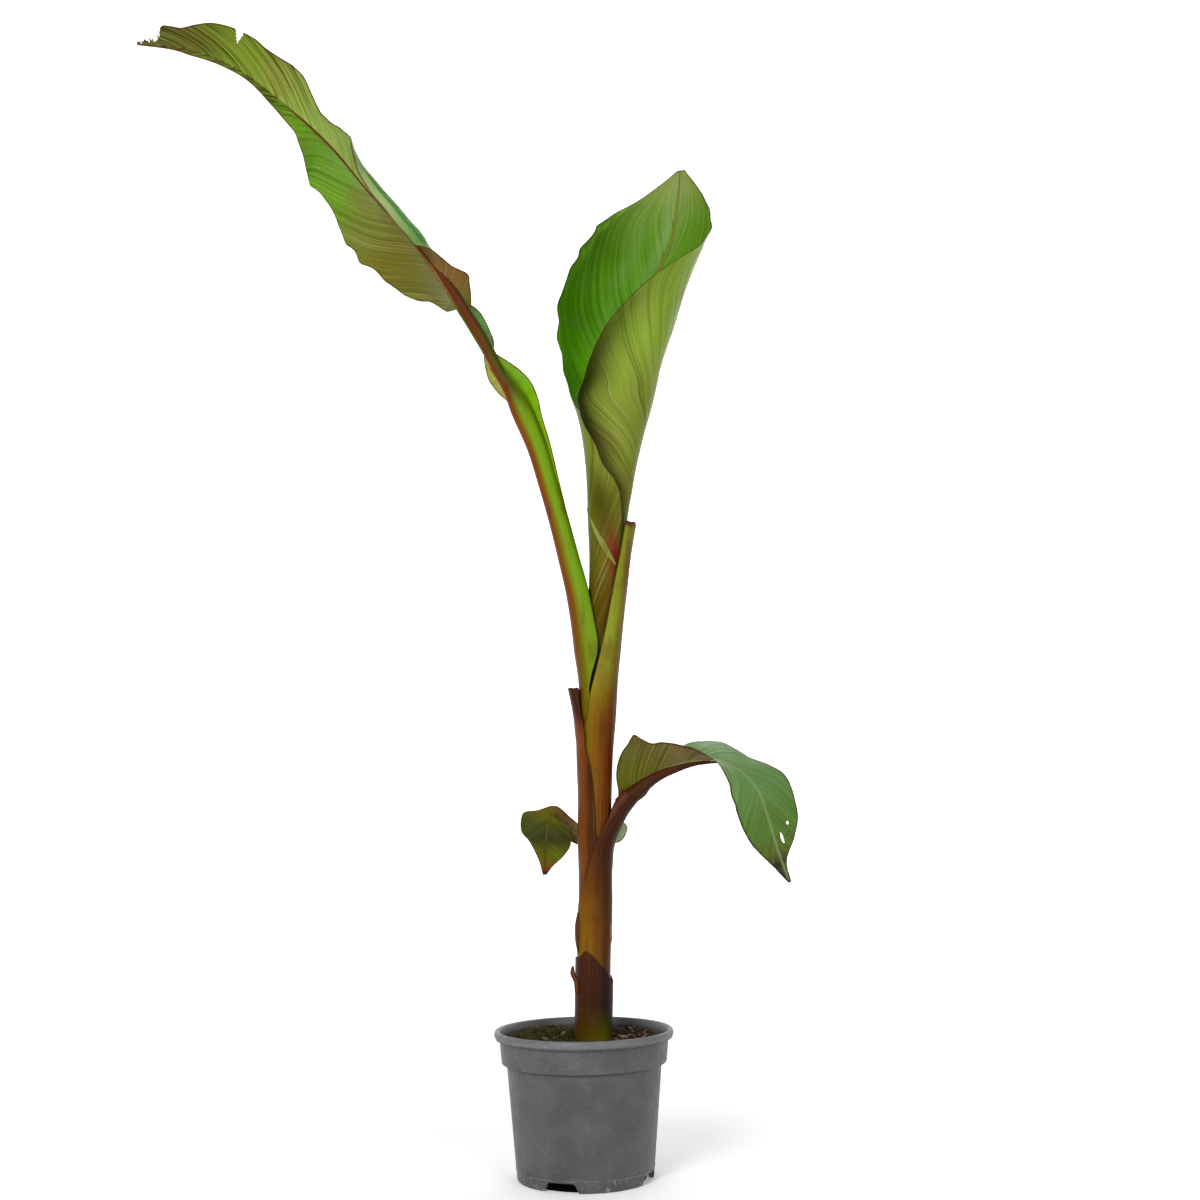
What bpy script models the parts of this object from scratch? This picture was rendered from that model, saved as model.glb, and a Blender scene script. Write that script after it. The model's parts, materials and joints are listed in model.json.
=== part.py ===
"""Potted young banana plant: a nested-sheath stem with four leaves and two cut stalks in a nursery pot.

Metres, +Z up. The origin is the centre of the pot's underside. Angles round a limb are in degrees
from the front (-Y), growing towards the right (+X). Control rows are in millimetres.
"""

import math

import bmesh
import bpy
import numpy as np

MM = 0.001

# ---- pot -------------------------------------------------------------------
POT_RIM_R = 95.0
POT_LIP_R = 91.4
POT_COLLAR_TOP_R = 89.6
POT_COLLAR_LOW_R = 87.3
POT_BODY_TOP_R = 82.0
POT_BASE_R = 71.7
POT_WALL = 2.2
POT_H = 152.4
POT_LIP_H = 8.5
POT_COLLAR_Z = 118.7
POT_FOOT_W = 5.2
POT_PAD_R = 40.0
POT_PLATE_Z = 8.0
POT_TURNS = 48
NOTCH_H = 10.0
NOTCH_LOW_W = 38.0
NOTCH_TOP_W = 28.0
NOTCH_ANGLES = (-20.0, 70.0, 160.0, 250.0)

# ---- soil ------------------------------------------------------------------
GAP = 0.3
SOIL_Z = 131.0
SOIL_RINGS = (84.0, 76.0, 66.0, 56.0, 46.0, 38.0, 31.0, 21.0, 12.0)
MOSS_AT = (-38.0, -10.0)
MOSS_H = 8.0
BARK_AT = (44.0, 6.0)
BARK_H = 4.0

# ---- stem ------------------------------------------------------------------
FOOT_Z = SOIL_Z + GAP
CORE = (
    (FOOT_Z, 9.5, 12.2),
    (235.0, 12.0, 12.3),
    (286.0, 13.0, 12.7),
    (392.0, 15.8, 13.4),
    (460.0, 17.6, 13.8),
    (522.0, 21.0, 13.6),
)
# height, centre x, outer radius, start angle, end angle, wall
BASE_SHEATH = (
    (FOOT_Z, 9.5, 20.4, -262, 80, 1.4),
    (172.0, 10.6, 20.2, -262, 80, 1.4),
    (228.0, 12.0, 20.2, -262, 80, 1.4),
)
BASE_SHEATH_TOP = (
    (-262, 201),
    (-210, 214),
    (-150, 222),
    (-90, 227),
    (-70, 226),
    (-48, 229),
    (-28, 233),
    (0, 228),
    (18, 220),
    (43, 212),
    (60, 203),
    (80, 195),
)
CUT_LEFT = (
    (FOOT_Z, 9.5, 16.1, -200, 150, 1.4),
    (235.0, 12.0, 16.1, -200, 130, 1.4),
    (286.0, 13.0, 16.8, -196, 60, 1.4),
    (320.0, 13.6, 17.3, -190, 24, 1.5),
    (350.0, 14.4, 18.6, -188, 7, 1.5),
    (392.0, 15.8, 19.2, -186, -4, 1.5),
    (432.0, 16.6, 20.9, -184, -19, 1.5),
    (452.0, 16.9, 21.5, -165, -33, 1.6),
    (465.0, 15.5, 21.3, -152, -30, 1.8),
    (481.0, 11.0, 18.2, -145, -30, 2.0),
    (497.0, 4.6, 14.2, -160, -20, 2.2),
    (513.0, -1.0, 12.0, -180, 0, 2.4),
)
CUT_RIGHT = (
    (FOOT_Z, 9.5, 14.2, -105, 245, 1.4),
    (235.0, 12.0, 14.2, -105, 245, 1.4),
    (286.0, 13.0, 14.8, -105, 245, 1.4),
    (320.0, 13.6, 15.3, -105, 245, 1.4),
    (350.0, 14.4, 16.7, -105, 245, 1.5),
    (392.0, 15.8, 17.3, -105, 245, 1.5),
    (446.0, 16.9, 18.9, -80, 245, 1.5),
    (481.0, 18.3, 20.9, -32, 212, 1.5),
    (499.0, 19.3, 21.2, -27, 207, 1.5),
    (533.0, 22.7, 20.6, -12, 192, 1.7),
    (552.0, 25.4, 20.2, -6, 186, 1.9),
    (578.0, 28.6, 19.8, 3, 177, 2.2),
    (619.0, 32.4, 21.2, 15, 165, 2.2),
    (655.0, 36.0, 22.2, 26, 154, 2.2),
    (693.5, 43.0, 22.0, 27, 153, 2.4),
)
LEFT_STALK = (
    (462.0, 17.4, 17.0, -200, 20, 2.6),
    (481.0, 18.1, 18.3, -176, -4, 2.8),
    (497.0, 18.3, 18.7, -162, -18, 3.0),
    (510.0, 18.3, 19.0, -156, -24, 3.2),
    (524.0, 17.8, 19.4, -165, -15, 3.2),
    (552.0, 15.0, 20.3, -196, 16, 3.2),
    (588.0, 8.1, 17.4, -210, 30, 3.4),
    (619.0, 1.7, 15.6, -218, 38, 3.8),
    (654.0, -7.9, 13.5, -228, 48, 4.4),
    (699.0, -19.6, 12.2, -236, 56, 4.6),
    (744.0, -32.2, 11.6, -240, 60, 4.8),
    (783.0, -44.0, 12.4, -236, 56, 5.0),
    (812.0, -54.0, 14.2, -225, 45, 5.0),
    (827.3, -61.2, 14.6, -220, 40, 5.0),
)
# centre, outer radius, start angle, end angle, wall
RIGHT_STALK = (
    ((9.5, 0, FOOT_Z + 0.3), 18.2, -170, 175, 1.4),
    ((12.0, 0, 235.0), 18.1, -110, 174, 1.4),
    ((13.0, 0, 258.0), 18.6, -72, 173, 1.5),
    ((13.2, 0, 282.0), 19.2, -40, 172, 1.6),
    ((13.6, 0, 322.0), 19.6, 14, 170, 1.7),
    ((16.6, 0, 345.0), 19.2, 29, 164, 2.0),
    ((24.0, 0, 359.0), 16.6, 24, 170, 2.4),
    ((33.0, 0, 372.0), 13.4, 8, 188, 3.0),
    ((41.5, 0, 384.0), 11.8, -6, 200, 3.6),
    ((53.0, 0, 397.1), 10.8, -16, 210, 4.0),
)
CENTRE_STALK = (
    (522.3, 21.2, 11.6),
    (552.0, 24.0, 13.2),
    (588.0, 26.6, 14.6),
    (619.0, 29.2, 17.6),
    (655.0, 32.0, 19.4),
    (697.7, 32.7, 20.4),
)
BACK_STALK = (
    ((14.0, 20.85, 262.0), 1.4),
    ((15.0, 22.5, 300.0), 2.6),
    ((16.0, 26.5, 324.0), 3.4),
    ((13.9, 34.0, 343.7), 4.0),
)

# ---- centre leaf: a funnel of horizontal arcs --------------------------------
FUNNEL_THICK = 4.5
# height, centre x, outer radius, right margin angle, left margin angle
FUNNEL = (
    (698.0, 32.8, 21.0, 49, 394),
    (732.0, 35.6, 24.4, 27, 372),
    (755.0, 37.4, 27.2, 3, 348),
    (777.0, 39.0, 30.8, -20, 322),
    (800.0, 40.4, 35.6, -48, 292),
    (822.0, 41.2, 41.6, -60, 281),
    (845.0, 40.4, 48.4, -40, 281),
    (868.0, 41.4, 53.2, -28, 280),
    (913.0, 46.6, 63.4, -2, 277),
    (959.0, 57.0, 67.8, 30, 272),
    (982.0, 66.4, 67.6, 50, 268),
    (1006.0, 77.0, 67.6, 76, 262),
    (1032.0, 89.5, 66.0, 98, 248),
    (1060.0, 96.5, 63.5, 112, 224),
    (1085.0, 101.0, 59.5, 128, 200),
    (1104.0, 104.0, 56.5, 143, 182),
    (1118.0, 105.5, 55.0, 154, 164),
)

# ---- blades: a midrib with two halves ----------------------------------------
# each half row: place along the midrib, width, lift at the midrib, lift at the margin
LEFT_THICK = 7.0
LEFT_SPINE = (
    (-68.5, 0, 824.5),
    (-84, 0, 856),
    (-111, 0, 904),
    (-139, 0, 952),
    (-180, 0, 1016),
    (-230, 0, 1077),
    (-277, 0, 1136),
    (-331, 0, 1187),
    (-378, 0, 1224),
    (-442, 0, 1252),
    (-496, 0, 1257),
)
LEFT_FRONT = (
    (0.00, 24, 60, 80),
    (0.06, 22, 60, 85),
    (0.105, 22, 60, 60),
    (0.15, 32, 70, -50),
    (0.19, 32, 70, -40),
    (0.215, 24, 80, 30),
    (0.24, 24, 80, 75),
    (0.265, 29, 80, 60),
    (0.30, 36, 60, -30),
    (0.33, 52, 46, -64),
    (0.42, 66, 42, -76),
    (0.53, 60, 40, -66),
    (0.60, 46, 50, -30),
    (0.645, 38, 42, -30),
    (0.71, 40, 65, 35),
    (0.81, 35, 65, 50),
    (0.86, 30, 60, 50),
    (0.93, 15, 50, 45),
    (1.00, 4, 40, 40),
)
LEFT_BACK = (
    (0.00, 6, -60, -80),
    (0.07, 17, -30, -50),
    (0.15, 22, 0, -20),
    (0.21, 32, 5, -15),
    (0.30, 64, -10, -35),
    (0.36, 80, -20, -50),
    (0.42, 88, -22, -52),
    (0.48, 80, -18, -48),
    (0.60, 78, -14, -42),
    (0.65, 58, -8, -34),
    (0.71, 34, 0, -20),
    (0.81, 24, 0, -12),
    (0.92, 14, 0, -6),
    (1.00, 3, 0, 0),
)
INNER_THICK = 2.4
INNER_SPINE = ((54.0, 0, 397.5), (69, 0, 411), (86, 0, 421), (108, 0, 428.5), (128, 0, 433), (141, 0, 434))
INNER_FRONT = (
    (0.00, 14, 75, 100),
    (0.12, 30, 80, 105),
    (0.28, 46, 85, 105),
    (0.36, 49, 85, 105),
    (0.46, 37, 85, 105),
    (0.60, 31, 85, 100),
    (0.76, 24, 70, 75),
    (0.92, 22, 35, 20),
    (1.00, 22, 12, 0),
)
INNER_BACK = (
    (0.00, 8, -50, -80),
    (0.20, 20, -50, -80),
    (0.34, 16, -20, -50),
    (0.50, 28, 20, 20),
    (0.75, 42, 30, 25),
    (1.00, 46, 32, 20),
)
OUTER_THICK = 2.4
OUTER_SPINE = (
    (141.8, 0, 434),
    (149, 0, 433.6),
    (158, 0, 430.5),
    (172, 0, 422),
    (191, 0, 400),
    (201, 0, 371),
    (211, 0, 335),
    (223, 0, 302),
)
OUTER_FRONT = (
    (0.00, 22, 12, 0),
    (0.20, 34, -30, -50),
    (0.45, 42, -45, -55),
    (0.70, 36, -45, -50),
    (0.88, 16, -40, -40),
    (1.00, 2, -40, -40),
)
OUTER_BACK = (
    (0.00, 46, 32, 20),
    (0.20, 44, 35, 20),
    (0.42, 52, 45, 50),
    (0.60, 48, 45, 50),
    (0.74, 34, 45, 45),
    (0.86, 10, 40, 40),
    (1.00, 2, 40, 40),
)
BACK_THICK = 2.4
BACK_SPINE = (
    (50, 34, 362),
    (25, 40, 356),
    (0, 38, 357),
    (-17, 33, 369),
    (-29, 26, 378),
    (-36, 19, 370),
    (-39, 14, 350),
    (-40.5, 12, 313),
)
BACK_FRONT = (
    (0.00, 8, -70, -80),
    (0.32, 14, -75, -80),
    (0.48, 16, -80, -80),
    (0.64, 28, -80, -80),
    (0.78, 28, -80, -80),
    (0.88, 20, -80, -80),
    (0.95, 8, -80, -80),
    (1.00, 2, -80, -80),
)
BACK_REAR = (
    (0.00, 8, 40, 60),
    (0.32, 10, 50, 50),
    (0.50, 8, 60, 60),
    (0.60, 15, 80, 80),
    (0.65, 30, 80, 80),
    (0.71, 28, 80, 80),
    (0.80, 16, 80, 80),
    (0.90, 7, 80, 80),
    (1.00, 2, 80, 80),
)

# ---- colours -----------------------------------------------------------------
MATERIALS = {
    "pot_plastic": ((0.105, 0.108, 0.115), 0.5),
    "soil": ((0.035, 0.022, 0.012), 0.95),
    "stem_flesh": ((0.20, 0.22, 0.05), 0.5),
    "maroon_sheath": ((0.11, 0.025, 0.012), 0.42),
    "brown_sheath": ((0.25, 0.11, 0.05), 0.45),
    "olive_sheath": ((0.30, 0.19, 0.035), 0.42),
    "lime_stalk": ((0.25, 0.38, 0.04), 0.42),
    "leaf_green": ((0.14, 0.32, 0.035), 0.4),
    "leaf_dusky": ((0.16, 0.17, 0.05), 0.45),
}


def curve(rows, at):
    """Smooth values between control rows, whose first column is the parameter."""
    rows = np.array(rows, float)
    x, y = rows[:, 0], rows[:, 1:]
    step = np.diff(x)[:, None]
    rise = np.diff(y, axis=0) / step
    slope = np.vstack([rise[:1], (rise[:-1] * step[1:] + rise[1:] * step[:-1]) / (step[1:] + step[:-1]), rise[-1:]])
    slope[1:-1][rise[:-1] * rise[1:] <= 0] = 0
    i = np.clip(np.searchsorted(x, at, side="right") - 1, 0, len(step) - 1)
    s = ((at - x[i]) / step[i, 0])[:, None]
    hold = y[i] * (1 + 2 * s) * (1 - s) ** 2 + y[i + 1] * s * s * (3 - 2 * s)
    return hold + step[i] * (slope[i] * s * (1 - s) ** 2 - slope[i + 1] * s * s * (1 - s))


def path_at(points, share):
    """Points of a smooth path through the given ones, at shares 0 to 1 of its length."""
    points = np.array(points, float)
    along = np.concatenate([[0], np.cumsum(np.linalg.norm(np.diff(points, axis=0), axis=1))])
    rows = np.column_stack([along / along[-1], points])
    return curve(rows, np.asarray(share, float))


def unit(v):
    return v / np.linalg.norm(v, axis=-1, keepdims=True)


def frames(path):
    """Right-hand and front directions square to the path at each of its points."""
    along = unit(np.gradient(path, axis=0))
    front = np.array([0.0, -1.0, 0.0])
    right = unit(np.cross(along, front))
    return along, right, unit(np.cross(right, along))


def add_mesh(name, verts, faces, material, smooth=True):
    """A closed object whose faces look outward."""
    mesh = bpy.data.meshes.new(name)
    mesh.from_pydata([tuple(v) for v in np.asarray(verts) * MM], [], faces)
    shape = bmesh.new()
    shape.from_mesh(mesh)
    bmesh.ops.triangulate(shape, faces=shape.faces)
    if shape.calc_volume(signed=True) < 0:
        bmesh.ops.reverse_faces(shape, faces=shape.faces)
    shape.to_mesh(mesh)
    shape.free()
    for face in mesh.polygons:
        face.use_smooth = smooth
    mesh.materials.append(bpy.data.materials[material])
    node = bpy.data.objects.new(name, mesh)
    bpy.context.scene.collection.objects.link(node)
    return node


def add_slab(name, top, bottom, material):
    """The closed solid between two matching grids of points."""
    rows, across = top.shape[:2]
    verts = np.concatenate([top.reshape(-1, 3), bottom.reshape(-1, 3)])
    under = rows * across
    faces = []
    for i in range(rows - 1):
        for j in range(across - 1):
            a = i * across + j
            faces.append((a, a + 1, a + across + 1, a + across))
            faces.append((under + a, under + a + across, under + a + across + 1, under + a + 1))
    for i in range(rows - 1):
        a = i * across
        b = a + across - 1
        faces.append((a, a + across, under + a + across, under + a))
        faces.append((b, under + b, under + b + across, b + across))
    last = (rows - 1) * across
    for j in range(across - 1):
        faces.append((j, under + j, under + j + 1, j + 1))
        faces.append((last + j, last + j + 1, under + last + j + 1, under + last + j))
    return add_mesh(name, verts, faces, material)


def add_limb(name, path, radii, material, sides=20, level=False):
    """A solid tapering limb with flat ends."""
    along, right, front = frames(path)
    if level:
        right[:] = (1, 0, 0)
        front[:] = (0, -1, 0)
    turn = np.linspace(0, 2 * math.pi, sides, endpoint=False)[:, None]
    verts = []
    for centre, radius, r, f in zip(path, radii, right, front):
        verts.extend(centre + radius * (np.sin(turn) * r + np.cos(turn) * f))
    faces = [tuple(range(sides)), tuple(range(len(verts) - sides, len(verts)))[::-1]]
    for i in range(len(path) - 1):
        for j in range(sides):
            a, b = i * sides + j, i * sides + (j + 1) % sides
            faces.append((a, a + sides, b + sides, b))
    return add_mesh(name, verts, faces, material)


def upright_limb(name, rows, material, stations=12):
    heights = np.linspace(rows[0][0], rows[-1][0], stations)
    centre_x, radius = curve(rows, heights).T
    path = np.column_stack([centre_x, 0 * heights, heights])
    return add_limb(name, path, radius, material, level=True)


def channel_grids(path, values, right, front, across):
    """Outer and inner surfaces of a channel: values are radius, start and end angle, wall."""
    radius, start, end, wall = np.array(values, float).T
    share = np.linspace(0, 1, across)
    angle = np.radians(start[:, None] + (end - start)[:, None] * share)[..., None]
    out = np.sin(angle) * right[:, None] + np.cos(angle) * front[:, None]
    outer = path[:, None] + radius[:, None, None] * out
    return outer, path[:, None] + (radius - wall)[:, None, None] * out, np.degrees(angle[..., 0])


def upright_sheath(name, rows, material, stations, across=15, lean=False, top=None):
    """A sheath round the stem: level rings, or rings square to its path where it leans."""
    heights = np.linspace(rows[0][0], rows[-1][0], stations)
    values = curve(rows, heights)
    path = np.column_stack([values[:, 0], 0 * heights, heights])
    along, right, front = frames(path)
    if not lean:
        right[:] = (1, 0, 0)
        front[:] = (0, -1, 0)
    outer, inner, angle = channel_grids(path, values[:, 1:], right, front, across)
    if top:
        rise = (heights - heights[0]) / (heights[-1] - heights[0])
        edge = curve(top, angle[-1])[:, 0]
        for grid in (outer, inner):
            grid[..., 2] = heights[0] + rise[:, None] * (edge - heights[0])
    return add_slab(name, outer, inner, material)


def leaning_sheath(name, rows, material, stations, across=15):
    points = np.array([row[0] for row in rows], float)
    along = np.concatenate([[0], np.cumsum(np.linalg.norm(np.diff(points, axis=0), axis=1))])
    table = np.column_stack([along, points, [row[1:] for row in rows]])
    values = curve(table, np.linspace(0, along[-1], stations))
    path = values[:, :3]
    along, right, front = frames(path)
    outer, inner, angle = channel_grids(path, values[:, 3:], right, front, across)
    return add_slab(name, outer, inner, material)


def half_blade(path, front, up, rows, share, steps):
    """One half of a blade, from the midrib out: points and the normal of the upper side."""
    width, first, last = curve(rows, share).T
    points = [path]
    normals = []
    for k in range(steps):
        lift = np.radians(first + (last - first) * (k + 0.5) / steps)[:, None]
        points.append(points[-1] + (width / steps)[:, None] * (np.cos(lift) * front + np.sin(lift) * up))
        normals.append(np.cos(lift) * up - np.sin(lift) * front)
    joints = [normals[0]] + [unit(a + b) for a, b in zip(normals, normals[1:])] + [normals[-1]]
    return points, joints


def add_blade(name, spine, front_rows, rear_rows, thick, rib, material, stations, steps=8, side=1):
    """A leaf blade: side is 1 where the upper face lies to the right of the midrib's run, else -1."""
    share = np.linspace(0, 1, stations)
    path = path_at(spine, share)
    along, right, front = frames(path)
    up = side * right
    fore, fore_out = half_blade(path, front, up, front_rows, share, steps)
    rear, rear_out = half_blade(path, -front, up, rear_rows, share, steps)
    crease = unit(fore_out[0] + rear_out[0])
    top = np.stack(fore[:0:-1] + [path] + rear[1:], axis=1)
    out = np.stack(fore_out[:0:-1] + [crease] + rear_out[1:], axis=1)
    depth = np.full(top.shape[:2], thick)
    depth[:, steps] += rib * (1 - 0.8 * share)
    over = thick / 2 * out
    return add_slab(name, top + over, top + over - depth[..., None] * out, material)


def add_funnel(name, rows, thick, material, stations=25, across=33):
    heights = np.linspace(rows[0][0], rows[-1][0], stations)
    values = curve(rows, heights)
    path = np.column_stack([values[:, 0], 0 * heights, heights])
    right = np.tile((1.0, 0.0, 0.0), (stations, 1))
    front = np.tile((0.0, -1.0, 0.0), (stations, 1))
    wall = np.full(stations, thick)
    outer, inner, angle = channel_grids(
        path, np.column_stack([values[:, 1:4], wall]), right, front, across
    )
    return add_slab(name, outer, inner, material)


def lathe(name, profile, turns, material, height=None):
    """A solid of revolution about Z; the profile runs from the axis round to the axis."""
    verts = [(0, 0, profile[0][1])]
    for r, z in profile[1:-1]:
        for j in range(turns):
            a = 2 * math.pi * j / turns
            x, y = r * math.sin(a), -r * math.cos(a)
            verts.append((x, y, height(x, y, z) if height else z))
    verts.append((0, 0, profile[-1][1]))
    faces = []
    for j in range(turns):
        faces.append((0, 1 + (j + 1) % turns, 1 + j))
        last = len(verts) - 1 - turns
        faces.append((len(verts) - 1, last + j, last + (j + 1) % turns))
        for i in range(len(profile) - 3):
            a, b = 1 + i * turns + j, 1 + i * turns + (j + 1) % turns
            faces.append((a, b, b + turns, a + turns))
    return add_mesh(name, verts, faces, material)


def wall_r(z):
    """Outside radius of the pot's wall at a height, below the collar."""
    return POT_BASE_R + (POT_BODY_TOP_R - POT_BASE_R) * z / POT_COLLAR_Z


def collar_r(z):
    share = (z - POT_COLLAR_Z) / (POT_H - POT_LIP_H - POT_COLLAR_Z)
    return POT_COLLAR_LOW_R + (POT_COLLAR_TOP_R - POT_COLLAR_LOW_R) * share


def add_pot():
    floor_z = POT_PLATE_Z + POT_WALL
    lip_z = POT_H - POT_LIP_H
    foot_in = POT_BASE_R - POT_FOOT_W
    profile = (
        (0, 0),
        (POT_PAD_R, 0),
        (POT_PAD_R + 2, POT_PLATE_Z),
        (foot_in - 1, POT_PLATE_Z),
        (foot_in, 0),
        (POT_BASE_R - 0.6, 0),
        (POT_BASE_R, 0.8),
        (wall_r(POT_COLLAR_Z - 2), POT_COLLAR_Z - 2),
        (POT_COLLAR_LOW_R - 0.8, POT_COLLAR_Z),
        (POT_COLLAR_LOW_R, POT_COLLAR_Z + 1),
        (POT_COLLAR_TOP_R, lip_z - 1.5),
        (POT_LIP_R, lip_z),
        (POT_RIM_R - 0.8, lip_z + 0.4),
        (POT_RIM_R, lip_z + 2),
        (POT_RIM_R - 0.4, POT_H - 2),
        (POT_RIM_R - 2, POT_H),
        (POT_RIM_R - 4.4, POT_H - 0.3),
        (POT_RIM_R - 6.4, POT_H - 3),
        (collar_r(lip_z) - POT_WALL, lip_z - 1),
        (collar_r(POT_COLLAR_Z + 3) - POT_WALL, POT_COLLAR_Z + 3),
        (wall_r(POT_COLLAR_Z) - POT_WALL, POT_COLLAR_Z),
        (wall_r(floor_z) - POT_WALL, floor_z),
        (POT_PAD_R - 1, floor_z),
        (POT_PAD_R - 3, POT_WALL),
        (0, POT_WALL),
    )
    pot = lathe("pot", profile, POT_TURNS, "pot_plastic")
    for number, angle in enumerate(NOTCH_ANGLES):
        cutter = add_notch_cutter(f"notch_cutter_{number}", math.radians(angle))
        cut = pot.modifiers.new(f"notch_{number}", "BOOLEAN")
        cut.operation = "DIFFERENCE"
        cut.solver = "EXACT"
        cut.object = cutter


def add_notch_cutter(name, angle):
    near, far = POT_BASE_R - POT_FOOT_W - 3, POT_BASE_R + 6
    low, high = NOTCH_LOW_W / 2, NOTCH_TOP_W / 2
    outline = ((-low - 1, -2), (low + 1, -2), (high, NOTCH_H), (-high, NOTCH_H))
    out = np.array([math.sin(angle), -math.cos(angle), 0])
    across = np.array([math.cos(angle), math.sin(angle), 0])
    verts = [out * reach + across * w + np.array([0, 0, z]) for reach in (near, far) for w, z in outline]
    faces = [(0, 1, 2, 3), (7, 6, 5, 4)]
    faces += [(j, 4 + j, 4 + (j + 1) % 4, (j + 1) % 4) for j in range(4)]
    cutter = add_mesh(name, verts, faces, "pot_plastic", smooth=False)
    cutter.hide_render = True
    cutter.display_type = "WIRE"
    return cutter


def soil_height(x, y, z):
    """The soil's surface: moss to the left, bark to the right, level round the stem."""
    if z < SOIL_Z:
        return z
    away = math.hypot(x - 9.5, y)
    rough = min(1.0, max(0.0, (away - 27) / 10))
    moss = MOSS_H * math.exp(-(((x - MOSS_AT[0]) / 26) ** 2) - ((y - MOSS_AT[1]) / 34) ** 2)
    bark = BARK_H * math.exp(-(((x - BARK_AT[0]) / 20) ** 2) - ((y - BARK_AT[1]) / 24) ** 2)
    lumps = 1.3 * math.sin(x * 0.21 + 1) * math.cos(y * 0.17) + 0.8 * math.sin(x * 0.43 - y * 0.37)
    return SOIL_Z + rough * (moss + bark + lumps)


def add_soil():
    floor_z = POT_PLATE_Z + POT_WALL + GAP
    inset = POT_WALL + GAP
    profile = (
        (0, POT_WALL + GAP),
        (POT_PAD_R - 3.6, POT_WALL + GAP),
        (POT_PAD_R - 1.6, floor_z),
        (wall_r(floor_z) - inset - 0.2, floor_z),
        (wall_r(POT_COLLAR_Z) - inset - 0.3, POT_COLLAR_Z),
        (collar_r(POT_COLLAR_Z + 3) - inset - 0.4, POT_COLLAR_Z + 3),
        (collar_r(SOIL_Z - 2) - inset - 0.4, SOIL_Z - 2),
    )
    profile += tuple((r, SOIL_Z) for r in SOIL_RINGS) + ((0, SOIL_Z),)
    return lathe("soil", profile, 40, "soil", soil_height)


def clear_scene():
    for item in list(bpy.data.objects):
        bpy.data.objects.remove(item)


def make_materials():
    for name, (colour, roughness) in MATERIALS.items():
        material = bpy.data.materials.new(name)
        material.use_nodes = True
        shader = material.node_tree.nodes["Principled BSDF"]
        shader.inputs["Base Color"].default_value = (*colour, 1)
        shader.inputs["Roughness"].default_value = roughness
        shader.inputs["Metallic"].default_value = 0
        material.diffuse_color = (*colour, 1)


def build():
    clear_scene()
    make_materials()
    add_pot()
    add_soil()
    upright_limb("stem_core", CORE, "stem_flesh")
    upright_sheath("base_sheath", BASE_SHEATH, "maroon_sheath", 7, 22, top=BASE_SHEATH_TOP)
    upright_sheath("cut_left_stalk", CUT_LEFT, "brown_sheath", 20)
    upright_sheath("cut_right_stalk", CUT_RIGHT, "olive_sheath", 20)
    leaning_sheath("right_leaf_stalk", RIGHT_STALK, "maroon_sheath", 24)
    upright_sheath("left_leaf_stalk", LEFT_STALK, "lime_stalk", 22, lean=True)
    upright_limb("centre_leaf_stalk", CENTRE_STALK, "lime_stalk", 10)
    add_blade("left_leaf_blade", LEFT_SPINE, LEFT_FRONT, LEFT_BACK, LEFT_THICK, 3, "leaf_green", 38, 7)
    add_funnel("centre_leaf_blade", FUNNEL, FUNNEL_THICK, "leaf_green")
    add_blade(
        "right_leaf_inner_blade", INNER_SPINE, INNER_FRONT, INNER_BACK, INNER_THICK, 3, "leaf_dusky", 16, 6, -1
    )
    add_blade("right_leaf_outer_blade", OUTER_SPINE, OUTER_FRONT, OUTER_BACK, OUTER_THICK, 1, "leaf_green", 20, 6, -1)
    add_back_stalk()
    add_blade("back_leaf_blade", BACK_SPINE, BACK_FRONT, BACK_REAR, BACK_THICK, 1, "leaf_dusky", 20, 5)


def add_back_stalk():
    points = [row[0] for row in BACK_STALK]
    share = np.linspace(0, 1, 8)
    radii = np.interp(share, np.linspace(0, 1, len(BACK_STALK)), [row[1] for row in BACK_STALK])
    return add_limb("back_leaf_stalk", path_at(points, share), radii, "maroon_sheath", 12)


build()
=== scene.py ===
"""Looks of a young banana plant in a grey nursery pot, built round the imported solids.

Lengths are in millimetres and angles in degrees, unless a comment says otherwise. Angles round the stem
start at the front and go towards +x."""
import json
import math

import bmesh
import bpy
import numpy as np
from mathutils import Matrix, Vector, noise

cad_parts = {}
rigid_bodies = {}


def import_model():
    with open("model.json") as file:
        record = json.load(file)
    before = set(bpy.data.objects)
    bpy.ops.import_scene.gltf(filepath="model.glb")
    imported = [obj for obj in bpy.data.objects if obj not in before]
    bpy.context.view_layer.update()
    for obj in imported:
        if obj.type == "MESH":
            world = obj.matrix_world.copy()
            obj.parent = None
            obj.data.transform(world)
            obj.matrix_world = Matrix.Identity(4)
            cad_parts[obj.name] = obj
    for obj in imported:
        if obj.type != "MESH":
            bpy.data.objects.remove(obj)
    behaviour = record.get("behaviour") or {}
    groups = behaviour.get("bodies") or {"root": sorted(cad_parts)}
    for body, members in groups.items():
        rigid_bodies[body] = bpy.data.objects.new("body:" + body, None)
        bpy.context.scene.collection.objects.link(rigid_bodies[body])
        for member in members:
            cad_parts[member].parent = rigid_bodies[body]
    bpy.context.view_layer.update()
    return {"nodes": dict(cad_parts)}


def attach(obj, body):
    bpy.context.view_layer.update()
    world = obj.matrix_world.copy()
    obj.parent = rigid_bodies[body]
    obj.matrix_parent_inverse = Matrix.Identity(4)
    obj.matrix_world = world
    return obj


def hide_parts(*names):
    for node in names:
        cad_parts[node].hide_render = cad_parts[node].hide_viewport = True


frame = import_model()

MM = 0.001
RANDOM = np.random.default_rng(11)

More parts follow.
